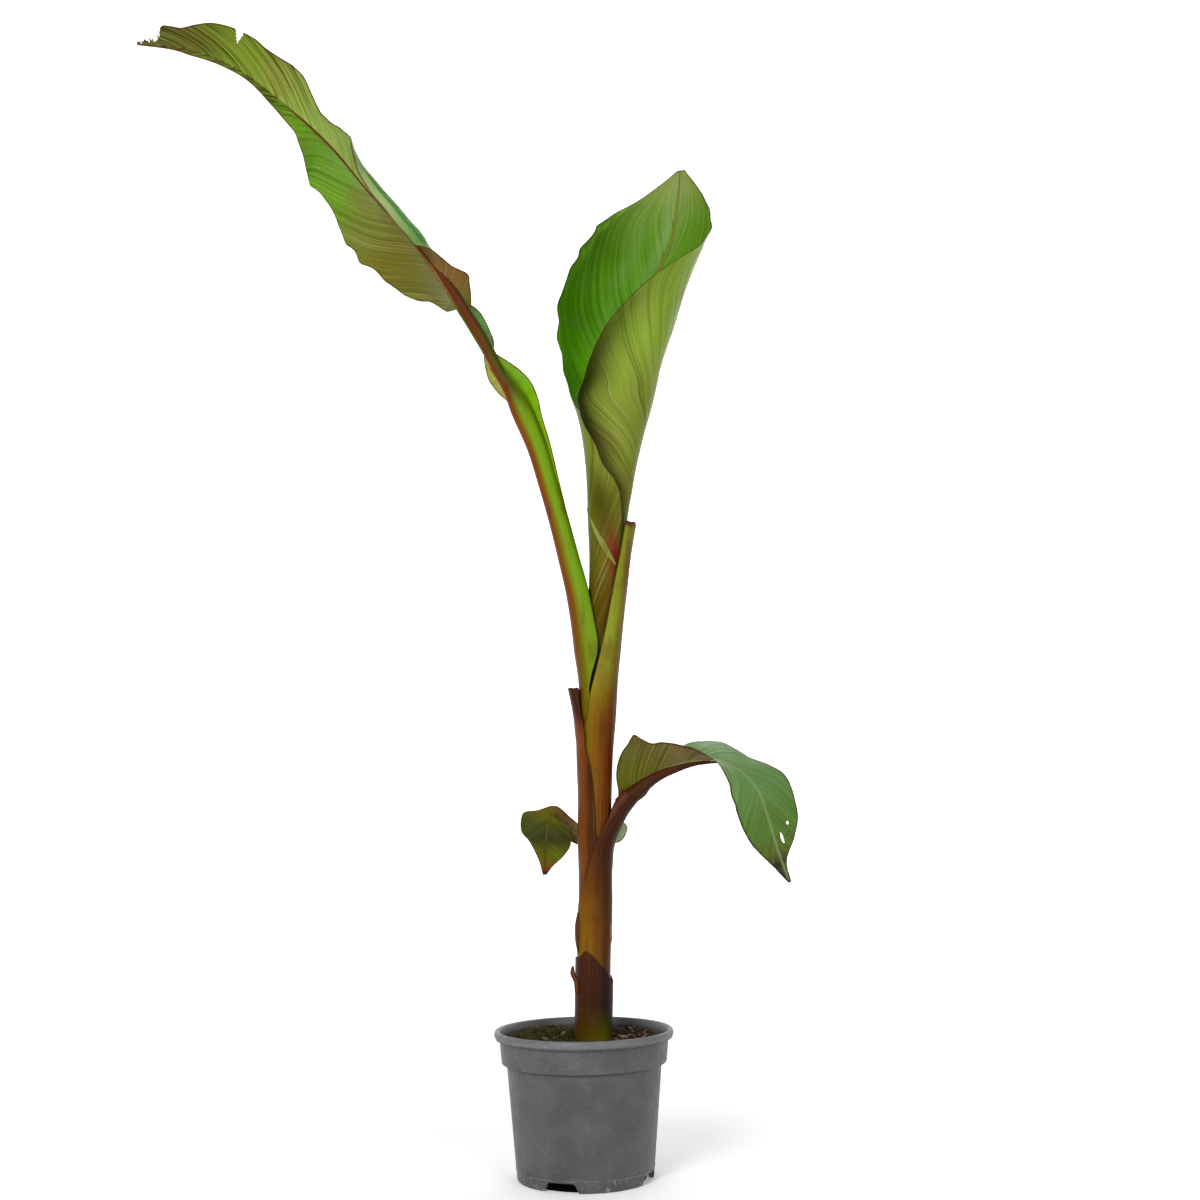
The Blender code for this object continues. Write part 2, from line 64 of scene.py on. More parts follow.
# ---- camera and light: metres, degrees, and millimetres for the lens ---------
CAMERA_PLACE = Vector((0.0236, -1.731, 0.401))
CAMERA_PITCH = 6.87
CAMERA_ROLL = -0.82
CAMERA_LENS = 47.79
WORLD_LIGHT = 0.16
FLOOR_GLOW = (0.2, 0.85)  # how strongly the paper glows, near the plant and at the back

# ---- surface -----------------------------------------------------------------
VIVID = (1.12, 0.93)  # saturation and brightness of every leaf and stalk
LEAF_SHINE = (0.11, 0.05)  # upper and under side
STALK_SHINE = 0.12
VEIN_BEND = 1.6  # how late along a blade its side veins start to lean forward
LONG_SLOPE = (0.3, 3.0)  # how far the side veins lean, at the foot and at the tip
FUNNEL_SLOPE = 1.3
FUNNEL_MIDRIB = 160.0  # the angle of its midrib
FUNNEL_HALF = 150.0  # the width that its vein pattern takes each half to have
DROOP_SLOPE = (0.9, 1.2)
BACK_SLOPE = (0.8, 0.8)
PLEAT = 0.35  # height of the pleats between side veins
LEAF_THICK = 0.8
LARGE_LEAF_THICK = 0.9  # of the long leaf and the centre leaf
GROOVE_DEPTH, GROOVE_REACH = 0.9, 2.2  # of the groove over a midrib
MARGIN_THINNING = 0.72  # how much of a sheath's wall is gone at its margins
TUBE_TIP = 0.4  # how far a tube's ends stick out, in radii
WING_TUCK = 14.0  # how far round inside the stalk's margin a wing starts

# ---- pot -------------------------------------------------------------------
POT_RIM_R = 95.0
POT_LIP_R = 91.4
POT_COLLAR_TOP_R = 89.6
POT_COLLAR_LOW_R = 87.3
POT_BODY_TOP_R = 82.0
POT_BASE_R = 71.7
POT_WALL = 2.2
POT_H = 152.4
POT_LIP_H = 8.5
POT_COLLAR_Z = 118.7
POT_FOOT_W = 5.2
POT_PAD_R = 40.0
POT_PLATE_Z = 8.0
NOTCH_H = 10.0
NOTCH_LOW_W = 38.0
NOTCH_TOP_W = 28.0
NOTCH_ANGLES = (-20.0, 70.0, 160.0, 250.0)
POT_TURNS = 180
POT_MEAN_R = 0.09  # metres, and so are the seams
POT_SEAMS = ((0.1436, 0.0021), (0.1178, 0.0018))  # height, reach
SCRATCHES = ((0.5, 46), (-0.7, 38), (1.35, 52), (-1.2, 42), (0.1, 34))  # angle in radians, density

# ---- soil ------------------------------------------------------------------
SOIL_Z = 140.0
SOIL_R = 82.0
SOIL_SIDE = (  # radius, height, down the inside of the pot
    (84.4, POT_COLLAR_Z + 3), (79.2, POT_COLLAR_Z), (69.6, POT_PLATE_Z + 3), (0.01, POT_PLATE_Z + 3),
)
SOIL_TURNS = 300
STEM_X = 9.5
STEM_CLEAR = 21.0  # the compost lies flat this near the stem's middle
MOSS_AT = (-36.0, 22.0)
MOSS_H = 8.0
BARK_AT = (46.0, 26.0)
BARK_H = 6.5
CHIPS, CHIPS_AT_STEM = 430, 210
TUFTS, TUFTS_ON_MOUND = 5200, 4300

# ---- stem ------------------------------------------------------------------
FOOT_Z = 131.3  # just above the top of the soil's solid
# height, centre x, outer radius, start angle, end angle, wall
BASE_SHEATH = (
    (FOOT_Z, 9.5, 20.4, -262, 80, 1.4), (172, 10.6, 20.2, -262, 80, 1.4),
    (228, 12, 20.2, -262, 80, 1.4),
)
# angle, height
BASE_SHEATH_TOP = (
    (-262, 201), (-210, 214), (-150, 222), (-90, 227), (-70, 226), (-48, 229), (-28, 233), (0, 228),
    (18, 220), (43, 212), (60, 203), (80, 195),
)
# as BASE_SHEATH, like the next two
CUT_LEFT = (
    (FOOT_Z, 9.5, 16.1, -200, 150, 1.4), (235, 12, 16.1, -200, 130, 1.4),
    (286, 13, 16.8, -196, 60, 1.4), (320, 13.6, 17.3, -190, 24, 1.5), (350, 14.4, 18.6, -188, 7, 1.5),
    (392, 15.8, 19.2, -186, -4, 1.5), (432, 16.6, 20.9, -184, -19, 1.5),
    (452, 16.9, 21.5, -165, -33, 1.6), (465, 15.5, 21.3, -152, -30, 1.8), (481, 11, 18.2, -145, -30, 2),
    (497, 4.6, 14.2, -160, -20, 2.2), (513, -1, 12, -180, 0, 2.4),
)
CUT_RIGHT = (
    (FOOT_Z, 9.5, 14.2, -105, 245, 1.4), (235, 12, 14.2, -105, 245, 1.4),
    (286, 13, 14.8, -105, 245, 1.4), (320, 13.6, 15.3, -105, 245, 1.4),
    (350, 14.4, 16.7, -105, 245, 1.5), (392, 15.8, 17.3, -105, 245, 1.5),
    (446, 16.9, 18.9, -80, 245, 1.5), (481, 18.3, 20.9, -32, 212, 1.5),
    (499, 19.3, 21.2, -27, 207, 1.5), (533, 22.7, 20.6, -12, 192, 1.7), (552, 25.4, 20.2, -6, 186, 1.9),
    (578, 28.6, 19.8, 3, 177, 2.2), (619, 32.4, 21.2, 15, 165, 2.2), (655, 36, 22.2, 26, 154, 2.2),
    (693.5, 43, 22, 27, 153, 2.4),
)
LONG_STALK = (
    (462, 17.4, 17, -200, 20, 2.6), (481, 18.1, 18.3, -176, -4, 2.8), (497, 18.3, 18.7, -162, -18, 3),
    (510, 18.3, 19, -156, -24, 3.2), (524, 17.8, 19.4, -165, -15, 3.2), (552, 15, 20.3, -196, 16, 3.2),
    (588, 8.1, 17.4, -210, 30, 3.4), (619, 1.7, 15.6, -218, 38, 3.8), (654, -7.9, 13.5, -228, 48, 4.4),
    (699, -19.6, 12.2, -236, 56, 4.6), (744, -32.2, 11.8, -240, 62, 4.8),
    (783, -43.6, 12.2, -236, 66, 5), (812, -55.4, 12.6, -222, 70, 5),
    (827.3, -62.4, 11.8, -200, 70, 4.6), (846, -71.6, 8.6, -165, 66, 3.6), (868, -83, 5, -135, 64, 2.4),
    (884, -92.6, 2.6, -120, 60, 1.2),
)
# centre, outer radius, start angle, end angle, wall
RIGHT_STALK = (
    ((9.5, 0, FOOT_Z + 0.3), 18.2, -170, 175, 1.4), ((12, 0, 235), 18.1, -110, 174, 1.4),
    ((13, 0, 258), 18.6, -86, 173, 1.5), ((13.2, 0, 282), 19.2, -66, 172, 1.6),
    ((13.6, 0, 322), 19.6, -20, 170, 1.7), ((16.6, 0, 345), 19.2, -6, 164, 2),
    ((24, 0, 359), 16.6, -8, 170, 2.4), ((33, 0, 372), 13.4, -18, 188, 3),
    ((41.5, 0, 384), 11.8, -42, 200, 3.6), ((53, 0, 397.1), 10.8, -70, 210, 4),
)
# height, centre x, radius
CENTRE_STALK = (
    (522.3, 21.2, 11.6), (552, 24, 13.2), (588, 26.6, 14.6), (619, 29.2, 17.6), (655, 32, 19.4),
    (697.7, 32.7, 20.4),
)
# centre, radius
BACK_STALK = (
    ((14, 20.85, 262), 1.4), ((15, 22.5, 300), 2.6), ((16, 26.5, 324), 3.4), ((13.9, 34, 343.7), 4),
)
# height, width, lift at the stalk, lift at the margin
FRONT_WING = (
    (690, 2, 0, 0), (744, 4.6, 14, 18), (783, 6.5, 20, 30), (812, 9.5, 24, 46), (827.3, 14, 30, 56),
    (846, 17.5, 34, 60), (860, 15, 34, 60), (872, 10, 36, 60), (884, 5, 40, 60), (896, 2, 40, 60),
)
REAR_WING = (
    (776, 2, 40, 40), (792, 4.5, 50, 70), (808, 9, 60, 86), (824, 13, 66, 96), (846, 16, 70, 100),
    (866, 16, 70, 104), (880, 12, 66, 100), (896, 4, 60, 80),
)
# height, angle, centre x, radius
ROLLED_EDGE = (
    (712, -84, 33.4, 22.6), (696, -52, 32.8, 21.4), (675, -23, 32.3, 20.6), (658, 4, 32, 20.2),
    (645, 30, 31.4, 19.6),
)

# ---- centre leaf: a funnel of level arcs ---------------------------------------
# height, centre x, outer radius, right margin angle, left margin angle
FUNNEL = (
    (524, 21.3, 11.4, 128, 504), (552, 24, 13, 118, 494), (588, 26.6, 14.4, 104, 480),
    (619, 29.2, 17.2, 90, 466), (655, 32, 19.2, 70, 446), (698, 32.8, 21, 49, 425),
    (732, 35.6, 24.4, 21, 402), (755, 37.4, 27.2, -17, 376), (777, 39, 30.8, -34, 352),
    (800, 40.4, 35.6, -57, 320), (822, 41.2, 41.6, -65, 288), (845, 40.4, 48.4, -40, 281),
    (868, 41.4, 53.2, -28, 280), (913, 46.6, 63.4, -2, 277), (959, 57, 67.8, 30, 272),
    (982, 66.4, 67.6, 50, 268), (1006, 77, 67.6, 76, 262), (1032, 89.5, 66, 98, 257),
    (1060, 96.5, 63.5, 112, 235), (1085, 101, 59.5, 128, 204), (1104, 104, 56.5, 143, 182),
    (1118, 105.5, 55, 154, 164),
)

# ---- blades: a midrib with two halves ------------------------------------------
# each half: share along the midrib, width, lift at the midrib, lift at the margin
LONG_SPINE = (
    (-68.5, 0, 824.5), (-84, 0, 856), (-111, 0, 904), (-139, 0, 952), (-180, 0, 1016), (-230, 0, 1077),
    (-277, 0, 1136), (-331, 0, 1187), (-378, 0, 1224), (-442, 0, 1252), (-496, 0, 1257),
)
LONG_FRONT = (
    (0, 2, 66, 82), (0.09, 2.5, 66, 84), (0.13, 7, 80, 88), (0.17, 9, 85, 92), (0.19, 12, 84, 92),
    (0.205, 18, 82, 92), (0.222, 24, 80, 92), (0.236, 28, 78, 90), (0.2465, 31.4, 76, 86),
    (0.25, 31.2, 76, 80), (0.26, 27.6, 73, 66), (0.275, 23.2, 66, 42), (0.3, 28, 56, 0),
    (0.33, 52, 60, -75), (0.375, 56, 54, -73), (0.425, 52, 60, -76), (0.477, 51, 58, -65),
    (0.51, 46, 54, -45), (0.535, 46, 54, -25), (0.56, 36, 60, 4), (0.585, 30, 60, 14),
    (0.6, 26, 60, 18), (0.625, 24.5, 60, 22), (0.65, 27.7, 60, 32), (0.675, 35, 62, 42),
    (0.7, 40.5, 65, 50), (0.72, 41, 66, 52), (0.75, 38.8, 65, 52), (0.775, 38, 64, 52),
    (0.8, 40, 64, 54), (0.825, 40, 63, 53), (0.85, 38.8, 62, 52), (0.875, 35.3, 61, 52),
    (0.9, 27.8, 58, 50), (0.925, 21.5, 54, 46), (0.945, 22, 54, 46), (0.955, 20, 52, 45),
    (0.963, 9.5, 52, 45), (0.98, 7.5, 45, 40), (1, 3, 40, 40),
)
LONG_REAR = (
    (0, 2, -60, -80), (0.08, 4, -25, -45), (0.105, 9, 30, 40), (0.12, 17, 58, 62), (0.15, 22.5, 62, 62),
    (0.185, 25, 60, 60), (0.2, 25, 52, 50), (0.21, 25, 44, 38), (0.218, 25, 22, 8),
    (0.224, 27, -6, -22), (0.234, 34, -8, -28), (0.25, 42, -8, -30), (0.27, 53, -9, -32),
    (0.285, 66, -11, -35), (0.3, 74, -12, -38), (0.33, 80, -16, -44), (0.36, 80, -20, -50),
    (0.4, 82, -21, -51), (0.42, 86, -22, -52), (0.45, 87, -20, -50), (0.5, 86, -17, -47),
    (0.53, 79, -15, -45), (0.55, 78, -15, -44), (0.575, 79.5, -14, -43), (0.6, 81.5, -14, -42),
    (0.615, 72, -15, -42), (0.63, 44, -24, -50), (0.65, 23, -45, -66), (0.675, 17, -50, -70),
    (0.7, 14.4, -50, -70), (0.72, 12, -50, -70), (0.75, 8.7, -50, -70), (0.8, 5.6, -50, -70),
    (0.85, 6, -50, -70), (0.9, 7.2, -50, -70), (0.925, 5.4, -50, -70), (0.95, 3.6, -50, -70),
    (1, 1, -50, -70),
)
# share along the midrib, rise of the rib in its own radii
LONG_RISE = (
    (0, 0.7), (0.05, 0.71), (0.09, 0.78), (0.13, 1.15), (0.17, 1.25), (0.2, 1.3), (0.24, 1.4),
    (0.28, 1.4), (0.33, 1), (0.4, 0), (0.5, -0.4), (1, -0.5),
)
INNER_SPINE = (
    (43, 0, 386), (54, 0, 397.5), (69, 0, 411), (86, 0, 421), (108, 0, 428.5), (128, 0, 433),
    (141, 0, 434),
)
INNER_FRONT = (
    (0, 5, 78, 100), (0.1, 15, 80, 103), (0.14, 22, 82, 104), (0.2, 29.5, 83, 105),
    (0.27, 36.5, 85, 105), (0.32, 41, 85, 105), (0.38, 44.5, 85, 105), (0.43, 49, 85, 105),
    (0.445, 50, 85, 105), (0.475, 43, 85, 105), (0.51, 35, 85, 105), (0.6, 30, 85, 102),
    (0.7, 24.6, 82, 90), (0.8, 20, 62, 62), (0.9, 20, 32, 20), (1, 22, 12, 0),
)
INNER_REAR = (
    (0, 4, -50, -80), (0.13, 11, -50, -80), (0.23, 13, -50, -80), (0.36, 9.5, -50, -80),
    (0.46, 9, -30, -50), (0.571, 26, 18, 20), (0.785, 42, 30, 25), (1, 46, 32, 20),
)
OUTER_SPINE = (
    (141.8, 0, 434), (149, 0, 433.6), (158, 0, 430.5), (172, 0, 422), (191, 0, 400), (201, 0, 371),
    (211, 0, 335), (223, 0, 302),
)
OUTER_FRONT = (
    (0, 22, 12, 0), (0.2, 34, -30, -50), (0.45, 42, -45, -55), (0.7, 36, -45, -50),
    (0.88, 16, -40, -40), (1, 2, -40, -40),
)
OUTER_REAR = (
    (0, 46, 32, 20), (0.2, 44, 35, 20), (0.42, 52, 45, 50), (0.6, 48, 45, 50), (0.74, 34, 45, 45),
    (0.86, 10, 40, 40), (1, 2, 40, 40),
)
BACK_SPINE = (
    (50, 34, 362), (25, 40, 356), (0, 38, 357), (-17, 33, 369), (-29, 26, 378), (-36, 19, 370),
    (-39, 14, 350), (-40.5, 12, 313),
)
BACK_FRONT = (
    (0, 2, -70, -80), (0.02, 7, -70, -80), (0.06, 12, -70, -80), (0.12, 13, -70, -80),
    (0.32, 14, -75, -80), (0.48, 16, -80, -80), (0.64, 28, -80, -80), (0.78, 28, -80, -80),
    (0.88, 20, -80, -80), (0.95, 8, -80, -80), (1, 2, -80, -80),
)
BACK_REAR = (
    (0, 2, 40, 60), (0.02, 8, 40, 60), (0.06, 15, 45, 65), (0.12, 18, 50, 65), (0.24, 10, 50, 60),
    (0.5, 8, 60, 60), (0.6, 15, 80, 80), (0.65, 30, 80, 80), (0.71, 28, 80, 80), (0.8, 16, 80, 80),
    (0.9, 7, 80, 80), (1, 2, 80, 80),
)
# each rib: share along it, radius
LONG_RIB = (
    (0, 6.4), (0.05, 6.8), (0.09, 6.4), (0.13, 6.4), (0.17, 6.2), (0.2, 5.8), (0.24, 5.2), (0.28, 4.3),
    (0.33, 3), (0.4, 1.6), (0.55, 1.5), (0.66, 1.4), (0.72, 0.7), (1, 0.4),
)
DROOP_RIB = (
    (0, 9.6), (0.05, 9.4), (0.09, 8.2), (0.15, 6.2), (0.24, 4.4), (0.34, 2.6), (0.4, 1.6), (0.7, 1),
    (1, 0.3),
)
BACK_RIB = ((0, 0.1), (0.14, 0.2), (0.24, 1.1), (0.4, 1.3), (0.6, 0.9), (0.8, 0.6), (1, 0.3))
FUNNEL_RIB = ((0, 3), (0.3, 5.2), (0.6, 3.4), (0.85, 1.8), (1, 0.7))
# as LONG_RISE
DROOP_RISE = (
    (0, 0), (0.05, -0.1), (0.1, -0.3), (0.24, -0.6), (0.34, -0.9), (0.4, -1.8), (0.7, -2.4), (1, -3),
)
# bumps on the long leaf's rear margin: share along it, height as a share of its width
BUMPS = ((0.612, 0.05), (0.472, 0.06), (0.427, 0.04))
BUMP_REACH = 0.012
NICK_AT = 0.823
FRAY_FROM = 0.956
# scallops of the funnel's margin: height, reach, depth
FUNNEL_TEETH = ((990, 10, 2.6), (1012, 7, 3.4), (1044, 7, 4.2), (1068, 6, 2.0))
# holes in the drooping leaf: x, height, half width, half height, lean
HOLES = ((216.8, 348.9, 1.9, 6.0, 0.3), (224.2, 364.9, 1.5, 1.9, 0.0))


# ---- helpers for shape -------------------------------------------------------
def curve(rows, at):
    """Smooth values between control rows, whose first column is the parameter."""
    rows = np.array(rows, float)
    x, y = rows[:, 0], rows[:, 1:]
    step = np.diff(x)[:, None]
    rise = np.diff(y, axis=0) / step
    slope = np.vstack(
        [rise[:1], (rise[:-1] * step[1:] + rise[1:] * step[:-1]) / (step[1:] + step[:-1]), rise[-1:]]
    )
    slope[1:-1][rise[:-1] * rise[1:] <= 0] = 0
    i = np.clip(np.searchsorted(x, at, side="right") - 1, 0, len(step) - 1)
    s = ((at - x[i]) / step[i, 0])[:, None]
    hold = y[i] * (1 + 2 * s) * (1 - s) ** 2 + y[i + 1] * s * s * (3 - 2 * s)
    return hold + step[i] * (slope[i] * s * (1 - s) ** 2 - slope[i + 1] * s * s * (1 - s))


def path_at(points, share):
    """Points of a smooth path through the given ones, at shares 0 to 1 of its length."""
    points = np.array(points, float)
    along = np.concatenate([[0], np.cumsum(np.linalg.norm(np.diff(points, axis=0), axis=1))])
    rows = np.column_stack([along / along[-1], points])
    return curve(rows, np.asarray(share, float))


def unit(v):
    """Vectors of length 1."""
    return v / np.linalg.norm(v, axis=-1, keepdims=True)


def frames(path):
    """Right-hand and front directions square to the path at each of its points."""
    along = unit(np.gradient(path, axis=0))
    front = np.array([0.0, -1.0, 0.0])
    right = unit(np.cross(along, front))
    return along, right, unit(np.cross(right, along))


def smooth(value, low, high):
    """A soft step from 0 at low to 1 at high."""
    share = np.clip((np.asarray(value, float) - low) / (high - low), 0, 1)
    return share * share * (3 - 2 * share)


def stack(*parts):
    """Vectors whose coordinates are arrays, or numbers, that broadcast together."""
    return np.stack(np.broadcast_arrays(*parts), -1)


def ripple(points, size, seed):
    """Smooth noise from -1 to 1 at each point of an array, for features of a size in the same units."""
    flat = np.asarray(points, float).reshape(-1, 3) / size + seed
    values = np.array([noise.noise(Vector(p)) for p in flat])
    return values.reshape(np.asarray(points).shape[:-1])


def new_piece(name, verts, faces, material, slot, nodes, attributes=None):
    """A piece in millimetres, riding on the plant and standing for CAD nodes."""
    mesh = bpy.data.meshes.new(name)
    mesh.from_pydata((np.asarray(verts, float) * MM).tolist(), [], faces)
    for key, values in (attributes or {}).items():
        kind = "FLOAT" if np.ndim(values) == 1 else "FLOAT_VECTOR"
        layer = mesh.attributes.new(key, kind, "POINT")
        layer.data.foreach_set(
            "value" if kind == "FLOAT" else "vector", np.asarray(values, np.float32).ravel(),
        )
    mesh.polygons.foreach_set("use_smooth", [True] * len(mesh.polygons))
    mesh.materials.append(material)
    mesh.update()
    piece = bpy.data.objects.new(name, mesh)
    bpy.context.scene.collection.objects.link(piece)
    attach(piece, "root")
    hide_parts(*nodes)
    return piece


def shell(name, top, bottom, place, material, slot, nodes, keep=None):
    """The thin closed skin between two matching grids of points.

    place holds (along share, across, distance to the edge in cm) for each grid point, and keep says
    which cells are there, so that holes and tears get walls of their own."""
    rows, cols = top.shape[:2]
    count = rows * cols
    if keep is None:
        keep = np.ones((rows - 1, cols - 1), bool)
    faces = []
    for i in range(rows - 1):
        for j in range(cols - 1):
            if not keep[i, j]:
                continue
            a = i * cols + j
            b, c, d = a + 1, a + cols + 1, a + cols
            faces.append((a, b, c, d))
            faces.append((count + a, count + d, count + c, count + b))
            if i == 0 or not keep[i - 1, j]:
                faces.append((b, a, count + a, count + b))
            if i == rows - 2 or not keep[i + 1, j]:
                faces.append((d, c, count + c, count + d))
            if j == 0 or not keep[i, j - 1]:
                faces.append((a, d, count + d, count + a))
            if j == cols - 2 or not keep[i, j + 1]:
                faces.append((c, b, count + b, count + c))
    used = np.zeros(2 * count, bool)
    used[np.array([v for face in faces for v in face])] = True
    index = np.cumsum(used) - 1
    faces = [tuple(int(index[v]) for v in face) for face in faces]
    verts = np.concatenate([top.reshape(-1, 3), bottom.reshape(-1, 3)])[used]
    spots = np.concatenate([place.reshape(-1, 3)] * 2)[used]
    under = np.repeat([0.0, 1.0], count)[used]
    return new_piece(name, verts, faces, material, slot, nodes, {"place": spots, "under": under})


def edge_distance(grid, foot=False):
    """Rough distance of each grid point from the sheet's sides and top, and from its foot if asked."""
    across = np.cumsum(np.linalg.norm(np.diff(grid, axis=1), axis=2), axis=1)
    across = np.pad(across, ((0, 0), (1, 0)))
    along = np.cumsum(np.linalg.norm(np.diff(grid, axis=0), axis=2), axis=0)
    along = np.pad(along, ((1, 0), (0, 0)))
    away = np.minimum(np.minimum(across, across[:, -1:] - across), along[-1:] - along)
    return np.minimum(away, along) if foot else away


def normals_of(grid):
    """Unit normals of a grid of points."""
    return unit(np.cross(np.gradient(grid, axis=1), np.gradient(grid, axis=0)) + 1e-12)


def tube(name, path, radii, material, slot, nodes, sides=28, directions=None):
    """A limb. place holds the share along it, the turn from the front in half turns and the radius in cm."""
    along, right, front = directions or frames(path)
    turn = np.linspace(-math.pi, math.pi, sides, endpoint=False)
    ring = np.sin(turn)[:, None] * right[:, None] + np.cos(turn)[:, None] * front[:, None]
    verts = (path[:, None] + np.asarray(radii)[:, None, None] * ring).reshape(-1, 3)
    share = np.linspace(0, 1, len(path))
    place = stack(share[:, None], turn / math.pi, np.asarray(radii)[:, None] / 10).reshape(-1, 3)
    faces = lathe_faces(len(path), sides)
    last, end = len(verts), (len(path) - 1) * sides
    foot, tip = path[0] - along[0] * radii[0] * TUBE_TIP, path[-1] + along[-1] * radii[-1] * TUBE_TIP
    verts = np.vstack([verts, foot, tip])
    place = np.vstack([place, (0, 0, 0), (1, 0, 0)])
    for j in range(sides):
        faces.append((last, (j + 1) % sides, j))
        faces.append((last + 1, end + j, end + (j + 1) % sides))
    new_piece(name, verts, faces, material, slot, nodes, {"place": place, "under": np.zeros(len(verts))})


# ---- helpers for materials ---------------------------------------------------
def tone(red, green, blue):
    """A colour given as a screen shows it, 0 to 255."""
    part = np.array([red, green, blue]) / 255
    linear = np.where(part <= 0.04045, part / 12.92, ((part + 0.055) / 1.055) ** 2.4)
    return (*(float(c) for c in linear), 1.0)


class Look:
    """One node material. A value is a number, a colour or the output of another node."""

    def __init__(self, name):
        self.material = bpy.data.materials.new(name)
        self.material.use_nodes = True
        self.tree = self.material.node_tree
        self.shader = self.tree.nodes["Principled BSDF"]

    def put(self, socket, value):
        """Links a socket to a value or sets it."""
        if isinstance(value, bpy.types.NodeSocket):
            self.tree.links.new(value, socket)
        else:
            socket.default_value = value

    def math(self, operation, *values):
        """One arithmetic node."""
        node = self.tree.nodes.new("ShaderNodeMath")
        node.operation = operation
        for socket, value in zip(node.inputs, values):
            self.put(socket, value)
        return node.outputs[0]

    def add(self, a, b):
        return self.math("ADD", a, b)

    def times(self, a, b):
        return self.math("MULTIPLY", a, b)

    def minus(self, a, b):
        return self.math("SUBTRACT", a, b)

    def band(self, value, low, high, to_low=0.0, to_high=1.0):
        """Smooth step of a value from low to high."""
        node = self.tree.nodes.new("ShaderNodeMapRange")
        node.interpolation_type = "SMOOTHSTEP"
        self.put(node.inputs["Value"], value)
        limits = (low, high, to_low, to_high)
        if low > high:
            limits = (high, low, to_high, to_low)
        for key, number in zip(("From Min", "From Max", "To Min", "To Max"), limits):
            node.inputs[key].default_value = number
        return node.outputs["Result"]

    def peak(self, value, centre, width):
        """A soft bump, 1 at the centre and 0 from the width on."""
        away = self.math("ABSOLUTE", self.minus(value, centre))
        return self.band(away, width, 0.0)

    def ramp(self, value, stops):
        """Colours along a value, from rows of position, red, green and blue."""
        node = self.tree.nodes.new("ShaderNodeValToRGB")
        node.color_ramp.interpolation = "EASE"
        points = node.color_ramp.elements
        while len(points) < len(stops):
            points.new(0.5)
        for point, (position, *colour) in zip(points, stops):
            point.position = position
            point.color = tone(*colour)
        self.put(node.inputs[0], value)
        return node.outputs[0]

    def mix(self, share, first, second):
        """The first colour at share 0 and the second at 1."""
        node = self.tree.nodes.new("ShaderNodeMix")
        node.data_type = "RGBA"
        self.put(node.inputs[0], share)
        self.put(node.inputs[6], first)
        self.put(node.inputs[7], second)
        return node.outputs[2]

    def paint(self, colour, share, *shade):
        """The colour with a shade over it by a share from 0 to 1."""
        return self.mix(share, colour, tone(*shade))

    def tint(self, colour, value, low, high, most, *shade):
        """The colour, mixed with a shade by up to most as the value goes from low to high."""
        return self.paint(colour, self.band(value, low, high, 0, most), *shade)

    def split(self, vector):
        """The x, y and z of a vector."""
        node = self.tree.nodes.new("ShaderNodeSeparateXYZ")
        self.put(node.inputs[0], vector)
        return node.outputs[0], node.outputs[1], node.outputs[2]

    def join(self, x, y, z):
        """A vector from its x, y and z."""
        node = self.tree.nodes.new("ShaderNodeCombineXYZ")
        for socket, value in zip(node.inputs, (x, y, z)):
            self.put(socket, value)
        return node.outputs[0]

    def noise(self, vector, scale, detail=3.0, rough=0.55):
        """Soft noise, mostly between 0.25 and 0.75."""
        node = self.tree.nodes.new("ShaderNodeTexNoise")
        self.put(node.inputs["Vector"], vector)
        node.inputs["Scale"].default_value = scale
        node.inputs["Detail"].default_value = detail
        node.inputs["Roughness"].default_value = rough
        return node.outputs["Fac"]

    def spot(self):
        """Place in the plant, in metres, as x, y, z."""
        node = self.tree.nodes.new("ShaderNodeTexCoord")
        return node.outputs["Object"]

    def attribute(self, name, output="Vector"):
        """A value stored on the points of the mesh."""
        node = self.tree.nodes.new("ShaderNodeAttribute")
        node.attribute_type = "GEOMETRY"
        node.attribute_name = name
        return node.outputs[output]

    def finish(self, colour, roughness, height=None, depth=0.0003, strength=0.6, specular=0.4, vivid=None):
        """The finished material; vivid is its saturation and brightness, height its relief."""
        if vivid:
            node = self.tree.nodes.new("ShaderNodeHueSaturation")
            node.inputs["Saturation"].default_value, node.inputs["Value"].default_value = vivid
            self.put(node.inputs["Color"], colour)
            colour = node.outputs[0]
        self.put(self.shader.inputs["Base Color"], colour)
        self.put(self.shader.inputs["Roughness"], roughness)
        if specular is not None:
            self.shader.inputs["Specular IOR Level"].default_value = specular
        if height is not None:
            node = self.tree.nodes.new("ShaderNodeBump")
            node.inputs["Strength"].default_value = strength
            node.inputs["Distance"].default_value = depth
            self.put(node.inputs["Height"], height)
            self.put(self.shader.inputs["Normal"], node.outputs[0])
        return self.material


# ---- looks ---------------------------------------------------------------------
def vein_lines(look, slope_base, slope_tip):
    """Fine and broad streaks that run with the side veins, from the midrib out towards the tip."""
    across, along, _ = look.split(look.attribute("run"))
    share = look.split(look.attribute("place"))[0]
    slope = look.add(slope_base, look.times(slope_tip - slope_base, look.math("POWER", share, VEIN_BEND)))
    run = look.minus(along, look.times(slope, look.math("ABSOLUTE", across)))
    fine = look.noise(look.join(look.times(across, 0.5), look.times(run, 46), 0), 1, 3, 0.6)
    broad = look.noise(look.join(look.times(across, 0.35), look.times(run, 11), 3), 1, 2, 0.5)
    wave = look.math("SINE", look.times(run, 84.0))
    return fine, broad, wave, run


